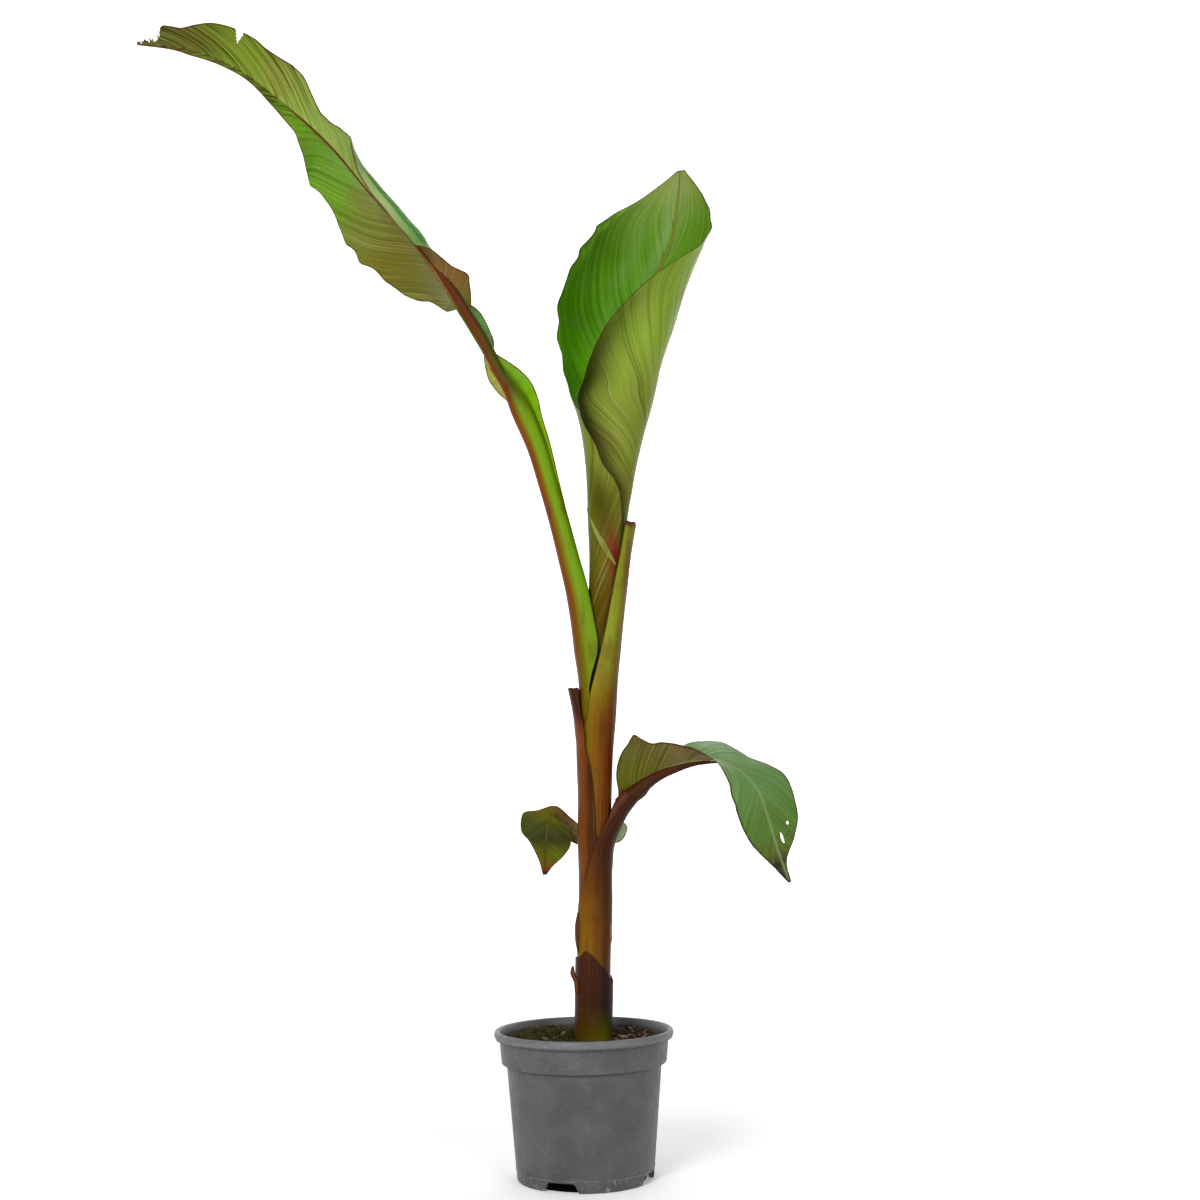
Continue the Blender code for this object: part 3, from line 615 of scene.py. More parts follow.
def leaf_look(
    name, upper, under, slope, edge_colour, dusk=0.0, gloss=0.36, midrib=None, under_front=None, patches_and_shade=(),
    veins=1.0, rim_width=0.24, streaks=None, turned=None,
):
    """A blade: upper and under are colour stops along it, and each side gets veins, blotches and a dark edge.

    under_front gives the front half's own underside, patches_and_shade are colour patches on the underside,
    some of them painted shade, as rows of centre and reach across, centre and reach along, colour and
    strength, streaks is the share where dark marks set in, and turned is a pale strip along the front margin:
    its centre, its reach and its colour."""
    look = Look(name)
    share, across, edge = look.split(look.attribute("place"))
    below = look.attribute("under", "Fac")
    spot = look.spot()
    fine, broad, wave, run = vein_lines(look, *slope)
    face, back = look.ramp(share, upper), look.ramp(share, under)
    if under_front:
        back = look.mix(look.band(across, 0.02, -0.02), back, look.ramp(share, under_front))
    face = look.tint(face, broad, 0.5, 0.72, 0.3 * veins, 140, 176, 84)
    face = look.tint(face, broad, 0.48, 0.32, 0.35 * veins, 50, 92, 30)
    face = look.tint(face, fine, 0.44, 0.28, 0.4 * veins, 44, 92, 24)
    face = look.tint(face, fine, 0.58, 0.72, 0.4 * veins, 150, 186, 104)
    back = look.tint(back, broad, 0.52, 0.3, 0.5 * veins, 74, 74, 30)
    back = look.tint(back, fine, 0.56, 0.72, 0.6 * veins, 176, 174, 118)
    back = look.tint(back, fine, 0.46, 0.3, 0.45 * veins, 70, 62, 26)
    if streaks:
        deep = look.noise(look.join(look.times(across, 0.6), look.times(run, 17), 6), 1, 3, 0.6)
        marks = look.times(look.band(share, *streaks), look.band(deep, 0.5, 0.62))
        back = look.paint(back, look.times(marks, 0.85), 44, 40, 10)
        light = look.times(look.band(share, *streaks), look.band(deep, 0.44, 0.34))
        back = look.paint(back, look.times(light, 0.6), 132, 158, 66)
    for at, wide, along, reach, tint, strength in patches_and_shade:
        dark = look.times(look.peak(across, at, wide), look.peak(share, along, reach))
        back = look.paint(back, look.times(dark, strength), *tint)
    if turned:
        at, reach, tint = turned
        strip = look.times(look.band(across, 0.0, -0.02), look.peak(share, at, reach))
        face = look.paint(face, look.times(strip, look.band(edge, 1.2, 0.8)), *tint)
    patch = look.noise(spot, 22, 3, 0.6)
    back = look.tint(back, patch, 0.5, 0.7, dusk, 122, 84, 58)
    face = look.tint(face, patch, 0.5, 0.68, 0.35 * min(1, veins), 104, 140, 74)
    colour = look.mix(below, face, back)
    if midrib:
        centre = look.peak(look.split(look.attribute("run"))[0], 0.0, 0.035)
        colour = look.paint(colour, look.times(centre, 0.85), *midrib)
    rim = look.add(edge, look.times(look.minus(look.noise(spot, 140, 2), 0.5), 0.16))
    colour = look.tint(colour, rim, rim_width, 0.04, 0.85, *edge_colour)
    fleck = look.noise(spot, 420, 2, 0.7)
    colour = look.tint(colour, fleck, 0.72, 0.8, 0.5, 96, 60, 34)
    height = look.add(look.times(fine, 0.6), look.add(look.times(broad, 0.9), look.times(wave, 0.05)))
    rough = look.band(patch, 0.3, 0.7, gloss - 0.05, gloss + 0.12)
    look.put(look.shader.inputs["Specular IOR Level"], look.band(below, 0.0, 1.0, *LEAF_SHINE))
    return look.finish(colour, rough, height, 0.0006, 0.5, None, vivid=VIVID)


def stalk_look(
    name, stops, low=None, low_share=(0.0, 0.3), inner=(150, 140, 80), streak=0.2, edge_top=2.0, high=None,
    high_share=(0.7, 0.9),
):
    """A sheath or leaf stalk with lengthwise streaks. Its colour stops go round it by the +x side, from the
    back at 0 to the back at 1, so that 0.25 is its left, 0.5 its front and 0.75 its right.

    low and high are the stops of its lower and upper end, which blend in over low_share and high_share."""
    look = Look(name)
    share, turn, edge = look.split(look.attribute("place"))
    spot = look.spot()
    x, y, z = look.split(spot)
    waver = look.noise(look.join(look.times(turn, 3), 0, look.times(z, 9)), 1, 2)
    side = look.add(turn, look.times(look.minus(waver, 0.5), 0.22))
    round_front = look.math("MULTIPLY_ADD", side, 0.5, 0.5)
    colour = look.ramp(round_front, stops)
    if low:
        blend = look.add(share, look.times(look.minus(look.noise(spot, 40, 3), 0.5), 0.12))
        colour = look.mix(look.band(blend, low_share[1], low_share[0]), colour, look.ramp(round_front, low))
    if high:
        colour = look.mix(look.band(share, *high_share), colour, look.ramp(round_front, high))
    lines = look.noise(look.join(look.times(turn, 34), look.times(z, 7), 5), 1, 3, 0.62)
    hairs = look.noise(look.join(look.times(turn, 120), look.times(z, 14), 9), 1, 2, 0.6)
    colour = look.tint(colour, lines, 0.52, 0.72, streak, 92, 52, 26)
    colour = look.tint(colour, lines, 0.46, 0.28, 0.6 * streak, 170, 150, 70)
    colour = look.tint(colour, hairs, 0.58, 0.76, 0.3, 64, 34, 18)
    patch = look.noise(look.join(x, y, look.times(z, 0.35)), 60, 3, 0.6)
    colour = look.tint(colour, patch, 0.52, 0.72, 0.42, 80, 42, 22)
    fleck = look.noise(spot, 620, 2, 0.7)
    colour = look.tint(colour, fleck, 0.7, 0.78, 0.6, 60, 36, 22)
    bruise = look.noise(spot, 150, 2, 0.5)
    colour = look.tint(colour, bruise, 0.72, 0.78, 0.55, 78, 52, 24)
    colour = look.paint(colour, look.attribute("under", "Fac"), *inner)
    border = look.times(look.band(edge, 0.12, 0.02, 0, 0.7), look.band(share, edge_top + 0.1, edge_top))
    colour = look.paint(colour, border, 50, 26, 16)
    height = look.add(look.times(lines, 0.8), look.times(hairs, 0.4))
    return look.finish(
        colour, look.band(patch, 0.3, 0.7, 0.36, 0.5), height, 0.0005, 0.45, STALK_SHINE, vivid=VIVID,
    )


def pot_look():
    """Worn grey plastic, with scratches, dirt and painted shade in its seams, pale marks near its foot, a
    painted highlight on its rim and painted shade inside its foot ring.
    """
    look = Look("grey_nursery_plastic")
    spot = look.spot()
    x, y, z = look.split(spot)
    turn = look.math("ARCTAN2", x, look.math("MULTIPLY", y, -1.0))
    around = look.times(turn, POT_MEAN_R)
    flat = look.join(around, z, 0.0)
    soft = look.noise(spot, 26, 4, 0.6)
    colour = look.mix(look.band(soft, 0.3, 0.7), tone(64, 65, 66), tone(82, 83, 84))
    grain = look.noise(spot, 900, 2, 0.7)
    colour = look.tint(colour, grain, 0.35, 0.75, 0.35, 104, 104, 104)
    worn = look.noise(look.join(around, look.times(z, 0.6), 4), 90, 5, 0.7)
    colour = look.tint(colour, worn, 0.56, 0.72, 0.35, 112, 112, 111)
    scratch = None
    warp = look.times(look.noise(flat, 14, 2), 0.02)
    for number, (angle, density) in enumerate(SCRATCHES):
        u = look.add(look.times(around, math.cos(angle)), look.times(z, math.sin(angle)))
        v = look.add(look.times(around, -math.sin(angle)), look.times(z, math.cos(angle)))
        v = look.times(look.add(v, warp), density * 22)
        line = look.noise(look.join(look.times(u, 12), v, number * 7.3), 1, 2, 0.5)
        line = look.band(line, 0.71, 0.75)
        scratch = line if scratch is None else look.math("MAXIMUM", scratch, line)
    colour = look.paint(colour, look.times(scratch, 0.2), 170, 170, 168)
    dust = look.noise(spot, 330, 2, 0.65)
    colour = look.tint(colour, dust, 0.7, 0.76, 0.55, 168, 164, 158)
    # dark brown along the seams under the rim and under the collar step: partly dirt, partly painted shade
    # where each overhangs
    dirt = look.noise(look.join(around, look.times(z, 1.2), 2), 120, 4, 0.65)
    seams = look.math("MAXIMUM", *(look.peak(z, *seam) for seam in POT_SEAMS))
    colour = look.paint(colour, look.times(seams, look.band(dirt, 0.3, 0.62, 0.25, 0.95)), 58, 44, 36)
    stain = look.noise(spot, 160, 3, 0.65)
    colour = look.tint(colour, stain, 0.71, 0.78, 0.7, 70, 54, 44)
    mould = look.peak(look.add(z, look.times(look.noise(flat, 60, 2), 0.0012)), 0.0126, 0.0008)
    colour = look.paint(
        colour, look.times(mould, look.band(look.noise(flat, 70, 2), 0.42, 0.6, 0, 0.5)), 160, 160, 158,
    )
    scuff = look.noise(look.join(around, z, 8), 150, 4, 0.7)
    low = look.band(z, 0.02, 0.004)
    colour = look.paint(colour, look.times(low, look.band(scuff, 0.55, 0.7, 0, 0.7)), 172, 171, 168)
    body = look.band(z, 0.117, 0.105)
    colour = look.paint(colour, look.times(body, 0.16), 40, 40, 40)
    # painted highlight: the rim, from about 144 mm up, turns paler grey
    rim_highlight = look.band(z, 0.1435, 0.1475)
    colour = look.paint(colour, look.times(rim_highlight, 0.3), 142, 143, 146)
    # painted shade: near black, with no gloss, inside the foot ring below 9 mm, so the notches look into the
    # dark under the pot
    away = look.math("SQRT", look.add(look.times(x, x), look.times(y, y)))
    painted_foot_shade = look.times(look.band(away, 0.0655, 0.0645), look.band(z, 0.0092, 0.0084))
    colour = look.paint(colour, painted_foot_shade, 14, 11, 9)
    height = look.add(look.times(grain, 0.5), look.add(look.times(scratch, -0.8), look.times(soft, 0.5)))
    look.put(look.shader.inputs["Specular IOR Level"], look.band(painted_foot_shade, 1.0, 0.0, 0.0, 0.5))
    return look.finish(colour, look.band(worn, 0.3, 0.7, 0.42, 0.58), height, 0.00025, 0.5, None)


def soil_look():
    """Dark compost."""
    look = Look("bark_compost")
    spot = look.spot()
    grit = look.noise(spot, 240, 4, 0.7)
    colour = look.ramp(grit, [(0.28, 20, 13, 9), (0.5, 44, 30, 20), (0.68, 92, 66, 42)])
    broad = look.noise(spot, 55, 3, 0.6)
    colour = look.tint(colour, broad, 0.5, 0.68, 0.5, 54, 52, 26)
    return look.finish(colour, 0.92, grit, 0.0012, 0.9, 0.2)


def chip_look():
    """Bark, darker or paler from chip to chip."""
    look = Look("bark_chips")
    _, tint, _ = look.split(look.attribute("place"))
    spot = look.spot()
    x, y, z = look.split(spot)
    colour = look.ramp(tint, [(0, 26, 16, 12), (0.5, 58, 36, 24), (0.8, 96, 64, 42), (1, 156, 122, 86)])
    fibre = look.noise(look.join(look.times(x, 600), look.times(y, 900), look.times(z, 300)), 1, 3, 0.7)
    colour = look.tint(colour, fibre, 0.5, 0.72, 0.6, 34, 22, 16)
    return look.finish(colour, 0.85, fibre, 0.0006, 0.8, 0.25)


def moss_look():
    """Moss, paler at the tips of its tufts."""
    look = Look("moss")
    share, tint, _ = look.split(look.attribute("place"))
    spot = look.spot()
    colour = look.ramp(share, [(0, 12, 14, 8), (0.5, 34, 40, 18), (1, 84, 88, 38)])
    colour = look.tint(colour, tint, 0.5, 1.0, 0.5, 120, 96, 50)
    grit = look.noise(spot, 500, 3, 0.7)
    colour = look.tint(colour, grit, 0.5, 0.7, 0.5, 26, 30, 14)
    return look.finish(colour, 0.9, grit, 0.0005, 0.6, 0.2)


# ---- pot and soil ----------------------------------------------------------------
def lathe_faces(rings, turns):
    """Faces between closed rings of points."""
    faces = []
    for i in range(rings - 1):
        for j in range(turns):
            a, b = i * turns + j, i * turns + (j + 1) % turns
            faces.append((a, b, b + turns, a + turns))
    return faces


def make_pot():
    """The pot as a turned profile, with notches cut between its feet."""
    floor_z = POT_PLATE_Z + POT_WALL
    lip_z = POT_H - POT_LIP_H
    foot_in = POT_BASE_R - POT_FOOT_W

    def wall(z):
        return POT_BASE_R + (POT_BODY_TOP_R - POT_BASE_R) * z / POT_COLLAR_Z

    def collar(z):
        climb = (z - POT_COLLAR_Z) / (lip_z - POT_COLLAR_Z)
        return POT_COLLAR_LOW_R + (POT_COLLAR_TOP_R - POT_COLLAR_LOW_R) * climb

    profile = [(0.01, 0.0), (foot_in - 3, 0.0), (foot_in - 2.6, POT_PLATE_Z), (foot_in - 1, POT_PLATE_Z)]
    profile += [(foot_in, 0.0), (POT_BASE_R - 1.6, 0.0), (POT_BASE_R - 0.5, 0.5), (POT_BASE_R + 0.1, 1.8)]
    profile += [(wall(z), z) for z in (6, 12.2)]
    profile += [(wall(13) + 0.35, 12.6), (wall(13) + 0.35, 13.6), (wall(14), 14.0)]
    profile += [(wall(z), z) for z in np.linspace(30, POT_COLLAR_Z - 2.6, 6)]
    profile += [
        (wall(POT_COLLAR_Z) - 0.3, POT_COLLAR_Z - 1.2), (POT_COLLAR_LOW_R - 1.6, POT_COLLAR_Z - 0.5),
    ]
    profile += [(POT_COLLAR_LOW_R - 0.3, POT_COLLAR_Z + 0.2), (POT_COLLAR_LOW_R, POT_COLLAR_Z + 1.4)]
    profile += [(collar(z), z) for z in (125, 132, lip_z - 2.2)]
    profile += [
        (POT_COLLAR_TOP_R - 0.1, lip_z - 1.0), (POT_LIP_R, lip_z - 0.5), (POT_RIM_R - 1.4, lip_z - 0.2),
    ]
    for k in range(9):
        turn = math.radians(-60 + k * 20)
        profile.append((POT_RIM_R - 2.6 + 2.6 * math.cos(turn), POT_H - 4.2 + 4.2 * math.sin(turn)))
    profile += [
        (POT_RIM_R - 4.4, POT_H - 0.4), (POT_RIM_R - 5.6, POT_H - 1.6), (POT_RIM_R - 6.3, POT_H - 4),
    ]
    profile += [
        (collar(lip_z) - POT_WALL, lip_z - 1), (collar(POT_COLLAR_Z + 3) - POT_WALL, POT_COLLAR_Z + 3),
    ]
    profile += [(wall(POT_COLLAR_Z) - POT_WALL, POT_COLLAR_Z), (wall(floor_z) - POT_WALL, floor_z)]
    profile += [(POT_PAD_R - 1, floor_z), (POT_PAD_R - 3, POT_WALL), (0.01, POT_WALL)]
    radii, heights = np.array(profile).T[..., None]
    turn = np.linspace(0, 2 * math.pi, POT_TURNS, endpoint=False)
    verts = stack(radii * np.sin(turn), -radii * np.cos(turn), heights)
    verts[[0, -1], :, :2] = 0
    faces = lathe_faces(len(profile), POT_TURNS)
    pot = new_piece("nursery_pot", verts.reshape(-1, 3), faces, pot_look(), "pot_plastic", ["pot"])
    shape = bmesh.new()
    shape.from_mesh(pot.data)
    bmesh.ops.remove_doubles(shape, verts=shape.verts, dist=1e-6)
    shape.to_mesh(pot.data)
    shape.free()
    for number, angle in enumerate(NOTCH_ANGLES):
        cutter = notch_cutter(number, math.radians(angle))
        cut = pot.modifiers.new(cutter.name, "BOOLEAN")
        cut.operation = "DIFFERENCE"
        cut.solver = "EXACT"
        cut.object = cutter
    bpy.context.view_layer.update()
    done = bpy.data.meshes.new_from_object(pot.evaluated_get(bpy.context.evaluated_depsgraph_get()))
    pot.modifiers.clear()
    pot.data = done
    for item in [o for o in bpy.data.objects if o.name.startswith("notch_cutter")]:
        bpy.data.objects.remove(item)
    done.polygons.foreach_set("use_smooth", [True] * len(done.polygons))
    done.set_sharp_from_angle(angle=math.radians(38))


def notch_cutter(number, angle):
    """A wedge that cuts the pot's foot at an angle."""
    near, far = POT_BASE_R - POT_FOOT_W - 3, POT_BASE_R + 6
    low, high = NOTCH_LOW_W / 2, NOTCH_TOP_W / 2
    outline = ((-low - 1, -2), (low + 1, -2), (high + 1.5, NOTCH_H - 1.5), (high - 1.5, NOTCH_H))
    outline += ((-high + 1.5, NOTCH_H), (-high - 1.5, NOTCH_H - 1.5))
    out = np.array([math.sin(angle), -math.cos(angle), 0])
    across = np.array([math.cos(angle), math.sin(angle), 0])
    verts = [out * reach + across * w + np.array([0, 0, z]) for reach in (near, far) for w, z in outline]
    count = len(outline)
    faces = [tuple(range(count)), tuple(range(2 * count - 1, count - 1, -1))]
    faces += [(j, count + j, count + (j + 1) % count, (j + 1) % count) for j in range(count)]
    mesh = bpy.data.meshes.new(f"notch_cutter_{number}")
    mesh.from_pydata((np.array(verts) * MM).tolist(), [], faces)
    shape = bmesh.new()
    shape.from_mesh(mesh)
    if shape.calc_volume(signed=True) < 0:
        bmesh.ops.reverse_faces(shape, faces=shape.faces)
    shape.to_mesh(mesh)
    shape.free()
    cutter = bpy.data.objects.new(mesh.name, mesh)
    bpy.context.scene.collection.objects.link(cutter)
    return cutter


def soil_height(x, y):
    """Height of the soil over SOIL_Z, in millimetres."""
    away = math.hypot(x - STEM_X, y)
    rough = min(1.0, max(0.0, (away - STEM_CLEAR) / 8))
    moss = MOSS_H * math.exp(-(((x - MOSS_AT[0]) / 26) ** 2) - ((y - MOSS_AT[1]) / 34) ** 2)
    bark = BARK_H * math.exp(-(((x - BARK_AT[0]) / 20) ** 2) - ((y - BARK_AT[1]) / 24) ** 2)
    spot = Vector((x, y, 0))
    lumps = 2.2 * noise.noise(spot / 11) + 1.3 * noise.noise(spot / 4.2) + 0.7 * noise.noise(spot / 1.9)
    return rough * (moss + bark + lumps) + 0.2


def make_soil():
    """The compost, as rings over its rough top and down the inside of the pot, and what lies on it."""
    rings = [(r, SOIL_Z, 1.0) for r in np.concatenate([[0.01], np.linspace(8, 86.0, 84)])]
    rings += [(radius, z, 0) for radius, z in SOIL_SIDE]
    verts = []
    for radius, z, rough in rings:
        for k in range(SOIL_TURNS):
            turn = 2 * math.pi * k / SOIL_TURNS
            x, y = radius * math.sin(turn), -radius * math.cos(turn)
            verts.append((x, y, z + rough * soil_height(x, y)))
    faces = [face[::-1] for face in lathe_faces(len(rings), SOIL_TURNS)]
    new_piece("compost", verts, faces, soil_look(), "soil", ["soil"])
    make_chips()
    make_moss()


def anywhere():
    """A random place on the compost."""
    away, turn = SOIL_R * math.sqrt(RANDOM.random()), RANDOM.random() * 2 * math.pi
    return away * math.sin(turn), away * math.cos(turn)


def make_chips():
    """Bark pieces and twigs scattered over the compost, most of them right of the stem."""
    verts, faces, place = [], [], []
    for number in range(CHIPS):
        if number < CHIPS_AT_STEM:
            x, y = RANDOM.normal(48, 19), RANDOM.normal(2, 32)
        else:
            x, y = anywhere()
        long, wide, thin = RANDOM.uniform(2.5, 11), RANDOM.uniform(1.0, 4.2), RANDOM.uniform(0.6, 2.0)
        heading, tip, roll, tint = RANDOM.uniform(0, 6.283), *RANDOM.normal(0, 0.32, 2), RANDOM.random()
        wobble = RANDOM.uniform(0.7, 1.15, (4, 4, 3))
        if math.hypot(x, y) > SOIL_R - 2 or math.hypot(x - STEM_X, y) < STEM_CLEAR + 3:
            continue
        turned = Matrix.Rotation(heading, 3, "Z") @ Matrix.Rotation(tip, 3, "Y")
        turned = turned @ Matrix.Rotation(roll, 3, "X")
        centre = Vector((x, y, SOIL_Z + soil_height(x, y) + 0.6 + 0.5 * thin))
        start = len(verts)
        for i, at in enumerate((-1.0, -0.45, 0.4, 1.0)):
            taper = 1 - 0.35 * at * at
            for j, (v, w) in enumerate(((-1, -0.6), (1, -0.9), (0.9, 0.8), (-0.8, 1))):
                p = Vector((at * long / 2, v * wide / 2 * taper, w * thin / 2 * taper))
                p = Vector([a * b for a, b in zip(p, wobble[i, j])])
                verts.append(centre + turned @ p)
                place.append(((at + 1) / 2, tint, 0))
        for i in range(3):
            for j in range(4):
                a, b = start + 4 * i + j, start + 4 * i + (j + 1) % 4
                faces.append((a, a + 4, b + 4, b))
        faces += [tuple(range(start, start + 4)), tuple(range(start + 15, start + 11, -1))]
    chips = new_piece("bark_chips", verts, faces, chip_look(), "soil", ["soil"], {"place": place})
    chips.data.polygons.foreach_set("use_smooth", [False] * len(chips.data.polygons))


def make_moss():
    """Short pointed tufts, thick on the mound left of the stem and thin elsewhere."""
    verts, faces, place = [], [], []
    for number in range(TUFTS):
        if number < TUFTS_ON_MOUND:
            x, y = RANDOM.normal(MOSS_AT[0], 20), RANDOM.normal(MOSS_AT[1] + 4, 27)
        else:
            x, y = anywhere()
        lean, tall, tint = RANDOM.normal(0, 0.55, 2), RANDOM.uniform(1.4, 5.0), RANDOM.random() ** 2
        if math.hypot(x, y) > SOIL_R + 0.5 or math.hypot(x - STEM_X, y) < STEM_CLEAR + 2:
            continue
        root = np.array([x, y, SOIL_Z + soil_height(x, y) - 0.6])
        tip = root + np.array([lean[0] * tall, lean[1] * tall, tall])
        middle = root + 0.55 * (tip - root) + np.array([lean[1], -lean[0], 0.1])
        start = len(verts)
        for centre, size, share in ((root, 0.55, 0.0), (middle, 0.5, 0.55)):
            for k in range(3):
                a = 2.094 * k + x
                verts.append(centre + size * np.array([math.cos(a), math.sin(a), 0]))
                place.append((share, tint, 0))
        verts.append(tip)
        place.append((1.0, tint, 0))
        for k in range(3):
            a, b = start + k, start + (k + 1) % 3
            faces.append((a, b, b + 3, a + 3))
            faces.append((a + 3, b + 3, start + 6))
        faces.append((start + 2, start + 1, start))
    new_piece("moss_tufts", verts, faces, moss_look(), "soil", ["soil"], {"place": place})


# ---- stem ------------------------------------------------------------------------
def channel(path, radius, start, end, wall, right, front, across):
    """Outer and inner grids of a sheath whose wall thins towards its two margins."""
    share = np.linspace(0, 1, across)
    angle = start[:, None] + (end - start)[:, None] * share
    turn = np.radians(angle)[..., None]
    out = np.sin(turn) * right[:, None] + np.cos(turn) * front[:, None]
    thin = 1 - MARGIN_THINNING * np.abs(2 * share - 1) ** 8
    outer = path[:, None] + radius[:, None, None] * out
    inner = path[:, None] + (radius[:, None] - wall[:, None] * thin)[..., None] * out
    return outer, inner, angle


def sheath(name, rows, material, slot, nodes, stations, across, lean=False, top=None, jag=0.0):
    """A sheath wrapped round the stem, from rows of height, centre, radius, start and end angle and wall.

    Its rings are level unless it leans, its top is level or follows rows of angle and height, and jag is how
    far that edge strays."""
    heights = np.linspace(rows[0][0], rows[-1][0], stations)
    values = curve(rows, heights)
    path = np.column_stack([values[:, 0], 0 * heights, heights])
    along, right, front = frames(path)
    if not lean:
        right[:] = (1, 0, 0)
        front[:] = (0, -1, 0)
    outer, inner, angle = channel(path, *values[:, 1:].T, right, front, across)
    share = np.linspace(0, 1, stations)
    rise = (heights - heights[0]) / (heights[-1] - heights[0])
    if top:
        edge = curve(top, angle[-1])[:, 0]
        edge = edge + jag * ripple(stack(angle[-1] * 0.35, 0, 0), 3.0, 4.0)
        for grid in (outer, inner):
            grid[..., 2] = heights[0] + rise[:, None] * (edge - heights[0])
    elif jag:
        cut = jag * ripple(stack(angle[-1] * 0.3, 0, 0), 4.0, 2.0)
        for grid in (outer, inner):
            grid += (rise ** 12)[:, None, None] * cut[None, :, None] * along[:, None]
    finish_sheath(name, outer, inner, angle, share, material, slot, nodes)


def wing(name, stalk, rows, to_front, look, stations=150, across=16):
    """A lobe of blade growing out of one margin of the long leaf's stalk."""
    heights = np.linspace(rows[0][0], rows[-1][0], stations)
    centre_x, radius, start, end, _ = curve(stalk, heights).T
    path = np.column_stack([centre_x, 0 * heights, heights])
    _, right, front = frames(path)
    side = 1 if to_front else -1
    turn = np.radians(end - WING_TUCK if to_front else start + WING_TUCK)[:, None]
    outward = np.sin(turn) * right + np.cos(turn) * front
    onward = side * (np.cos(turn) * right - np.sin(turn) * front)
    width, first, last = (column[:, None] for column in curve(rows, heights).T)
    s = np.linspace(0, 1, across)[None]
    grid = strip(path + (radius - 0.9)[:, None] * outward, onward, outward, width, first, last, s)
    normal = normals_of(grid)
    normal = normal * np.sign((normal[:, :1] * outward[:, None]).sum(-1))[..., None]
    t = np.linspace(0, 1, stations)[:, None]
    top, bottom = grid + LEAF_THICK / 2 * normal, grid - LEAF_THICK / 2 * normal
    edge = np.minimum(width * (1 - s), 60 * (1 - t) + 0 * s)
    place = stack(t, s, edge / 10)
    piece = shell(name, bottom, top, place, look, "leaf_green", ["left_leaf_blade", "left_leaf_stalk"])
    add_run(piece, stack(width * s / 100, heights[:, None] / 100, 0))


def finish_sheath(name, outer, inner, angle, share, material, slot, nodes):
    """The piece between a sheath's outer and inner grids."""
    edge = edge_distance(outer)
    turn = (angle + 180) % 360 / 180 - 1
    place = stack(share[:, None], turn, edge / 10)
    shell(name, outer, inner, place, material, slot, nodes)


def side_sheath(name, rows, material, slot, nodes, stations, across):
    """A sheath square to a path that bends away from the stem."""
    points = np.array([row[0] for row in rows], float)
    along = np.concatenate([[0], np.cumsum(np.linalg.norm(np.diff(points, axis=0), axis=1))])
    table = np.column_stack([along, points, [row[1:] for row in rows]])
    values = curve(table, np.linspace(0, along[-1], stations))
    path = values[:, :3]
    along, right, front = frames(path)
    outer, inner, angle = channel(path, *values[:, 3:].T, right, front, across)
    finish_sheath(name, outer, inner, angle, np.linspace(0, 1, stations), material, slot, nodes)


def upright_tube(name, rows, material, slot, nodes, stations, sides):
    """A tube with level rings, from rows of height, centre x and radius."""
    heights = np.linspace(rows[0][0], rows[-1][0], stations)
    centre_x, radius = curve(rows, heights).T
    path = np.column_stack([centre_x, 0 * heights, heights])
    level = [np.tile(direction, (stations, 1)) for direction in ((0.0, 0, 1), (1.0, 0, 0), (0.0, -1, 0))]
    tube(name, path, radius, material, slot, nodes, sides, directions=level)


def flap(name, centre_line, widths, curl, thick, material, slot, nodes, across=14, tilt=0.0):
    """A narrow scrap of old sheath along a line, bent by curl across it and turned from the front by tilt."""
    stations = 50
    share = np.linspace(0, 1, stations)
    path = path_at(centre_line, share)
    _, right, front = frames(path)
    width = curve(widths, share)[:, 0]
    angle = np.radians(curl) * np.linspace(-0.5, 0.5, across)
    tilt = math.radians(tilt)
    side = math.cos(tilt) * right + math.sin(tilt) * front
    out = -math.sin(tilt) * right + math.cos(tilt) * front
    radius = (width / math.radians(curl + 1e-3))[:, None, None]
    curve_in = (np.cos(angle)[:, None] - 1) * out[:, None]
    top = path[:, None] + radius * (np.sin(angle)[:, None] * side[:, None] + curve_in)
    bottom = top - thick * out[:, None]
    edge = edge_distance(top, foot=True)
    place = stack(share[:, None], angle / np.pi, edge / 10)
    shell(name, top, bottom, place, material, slot, nodes)


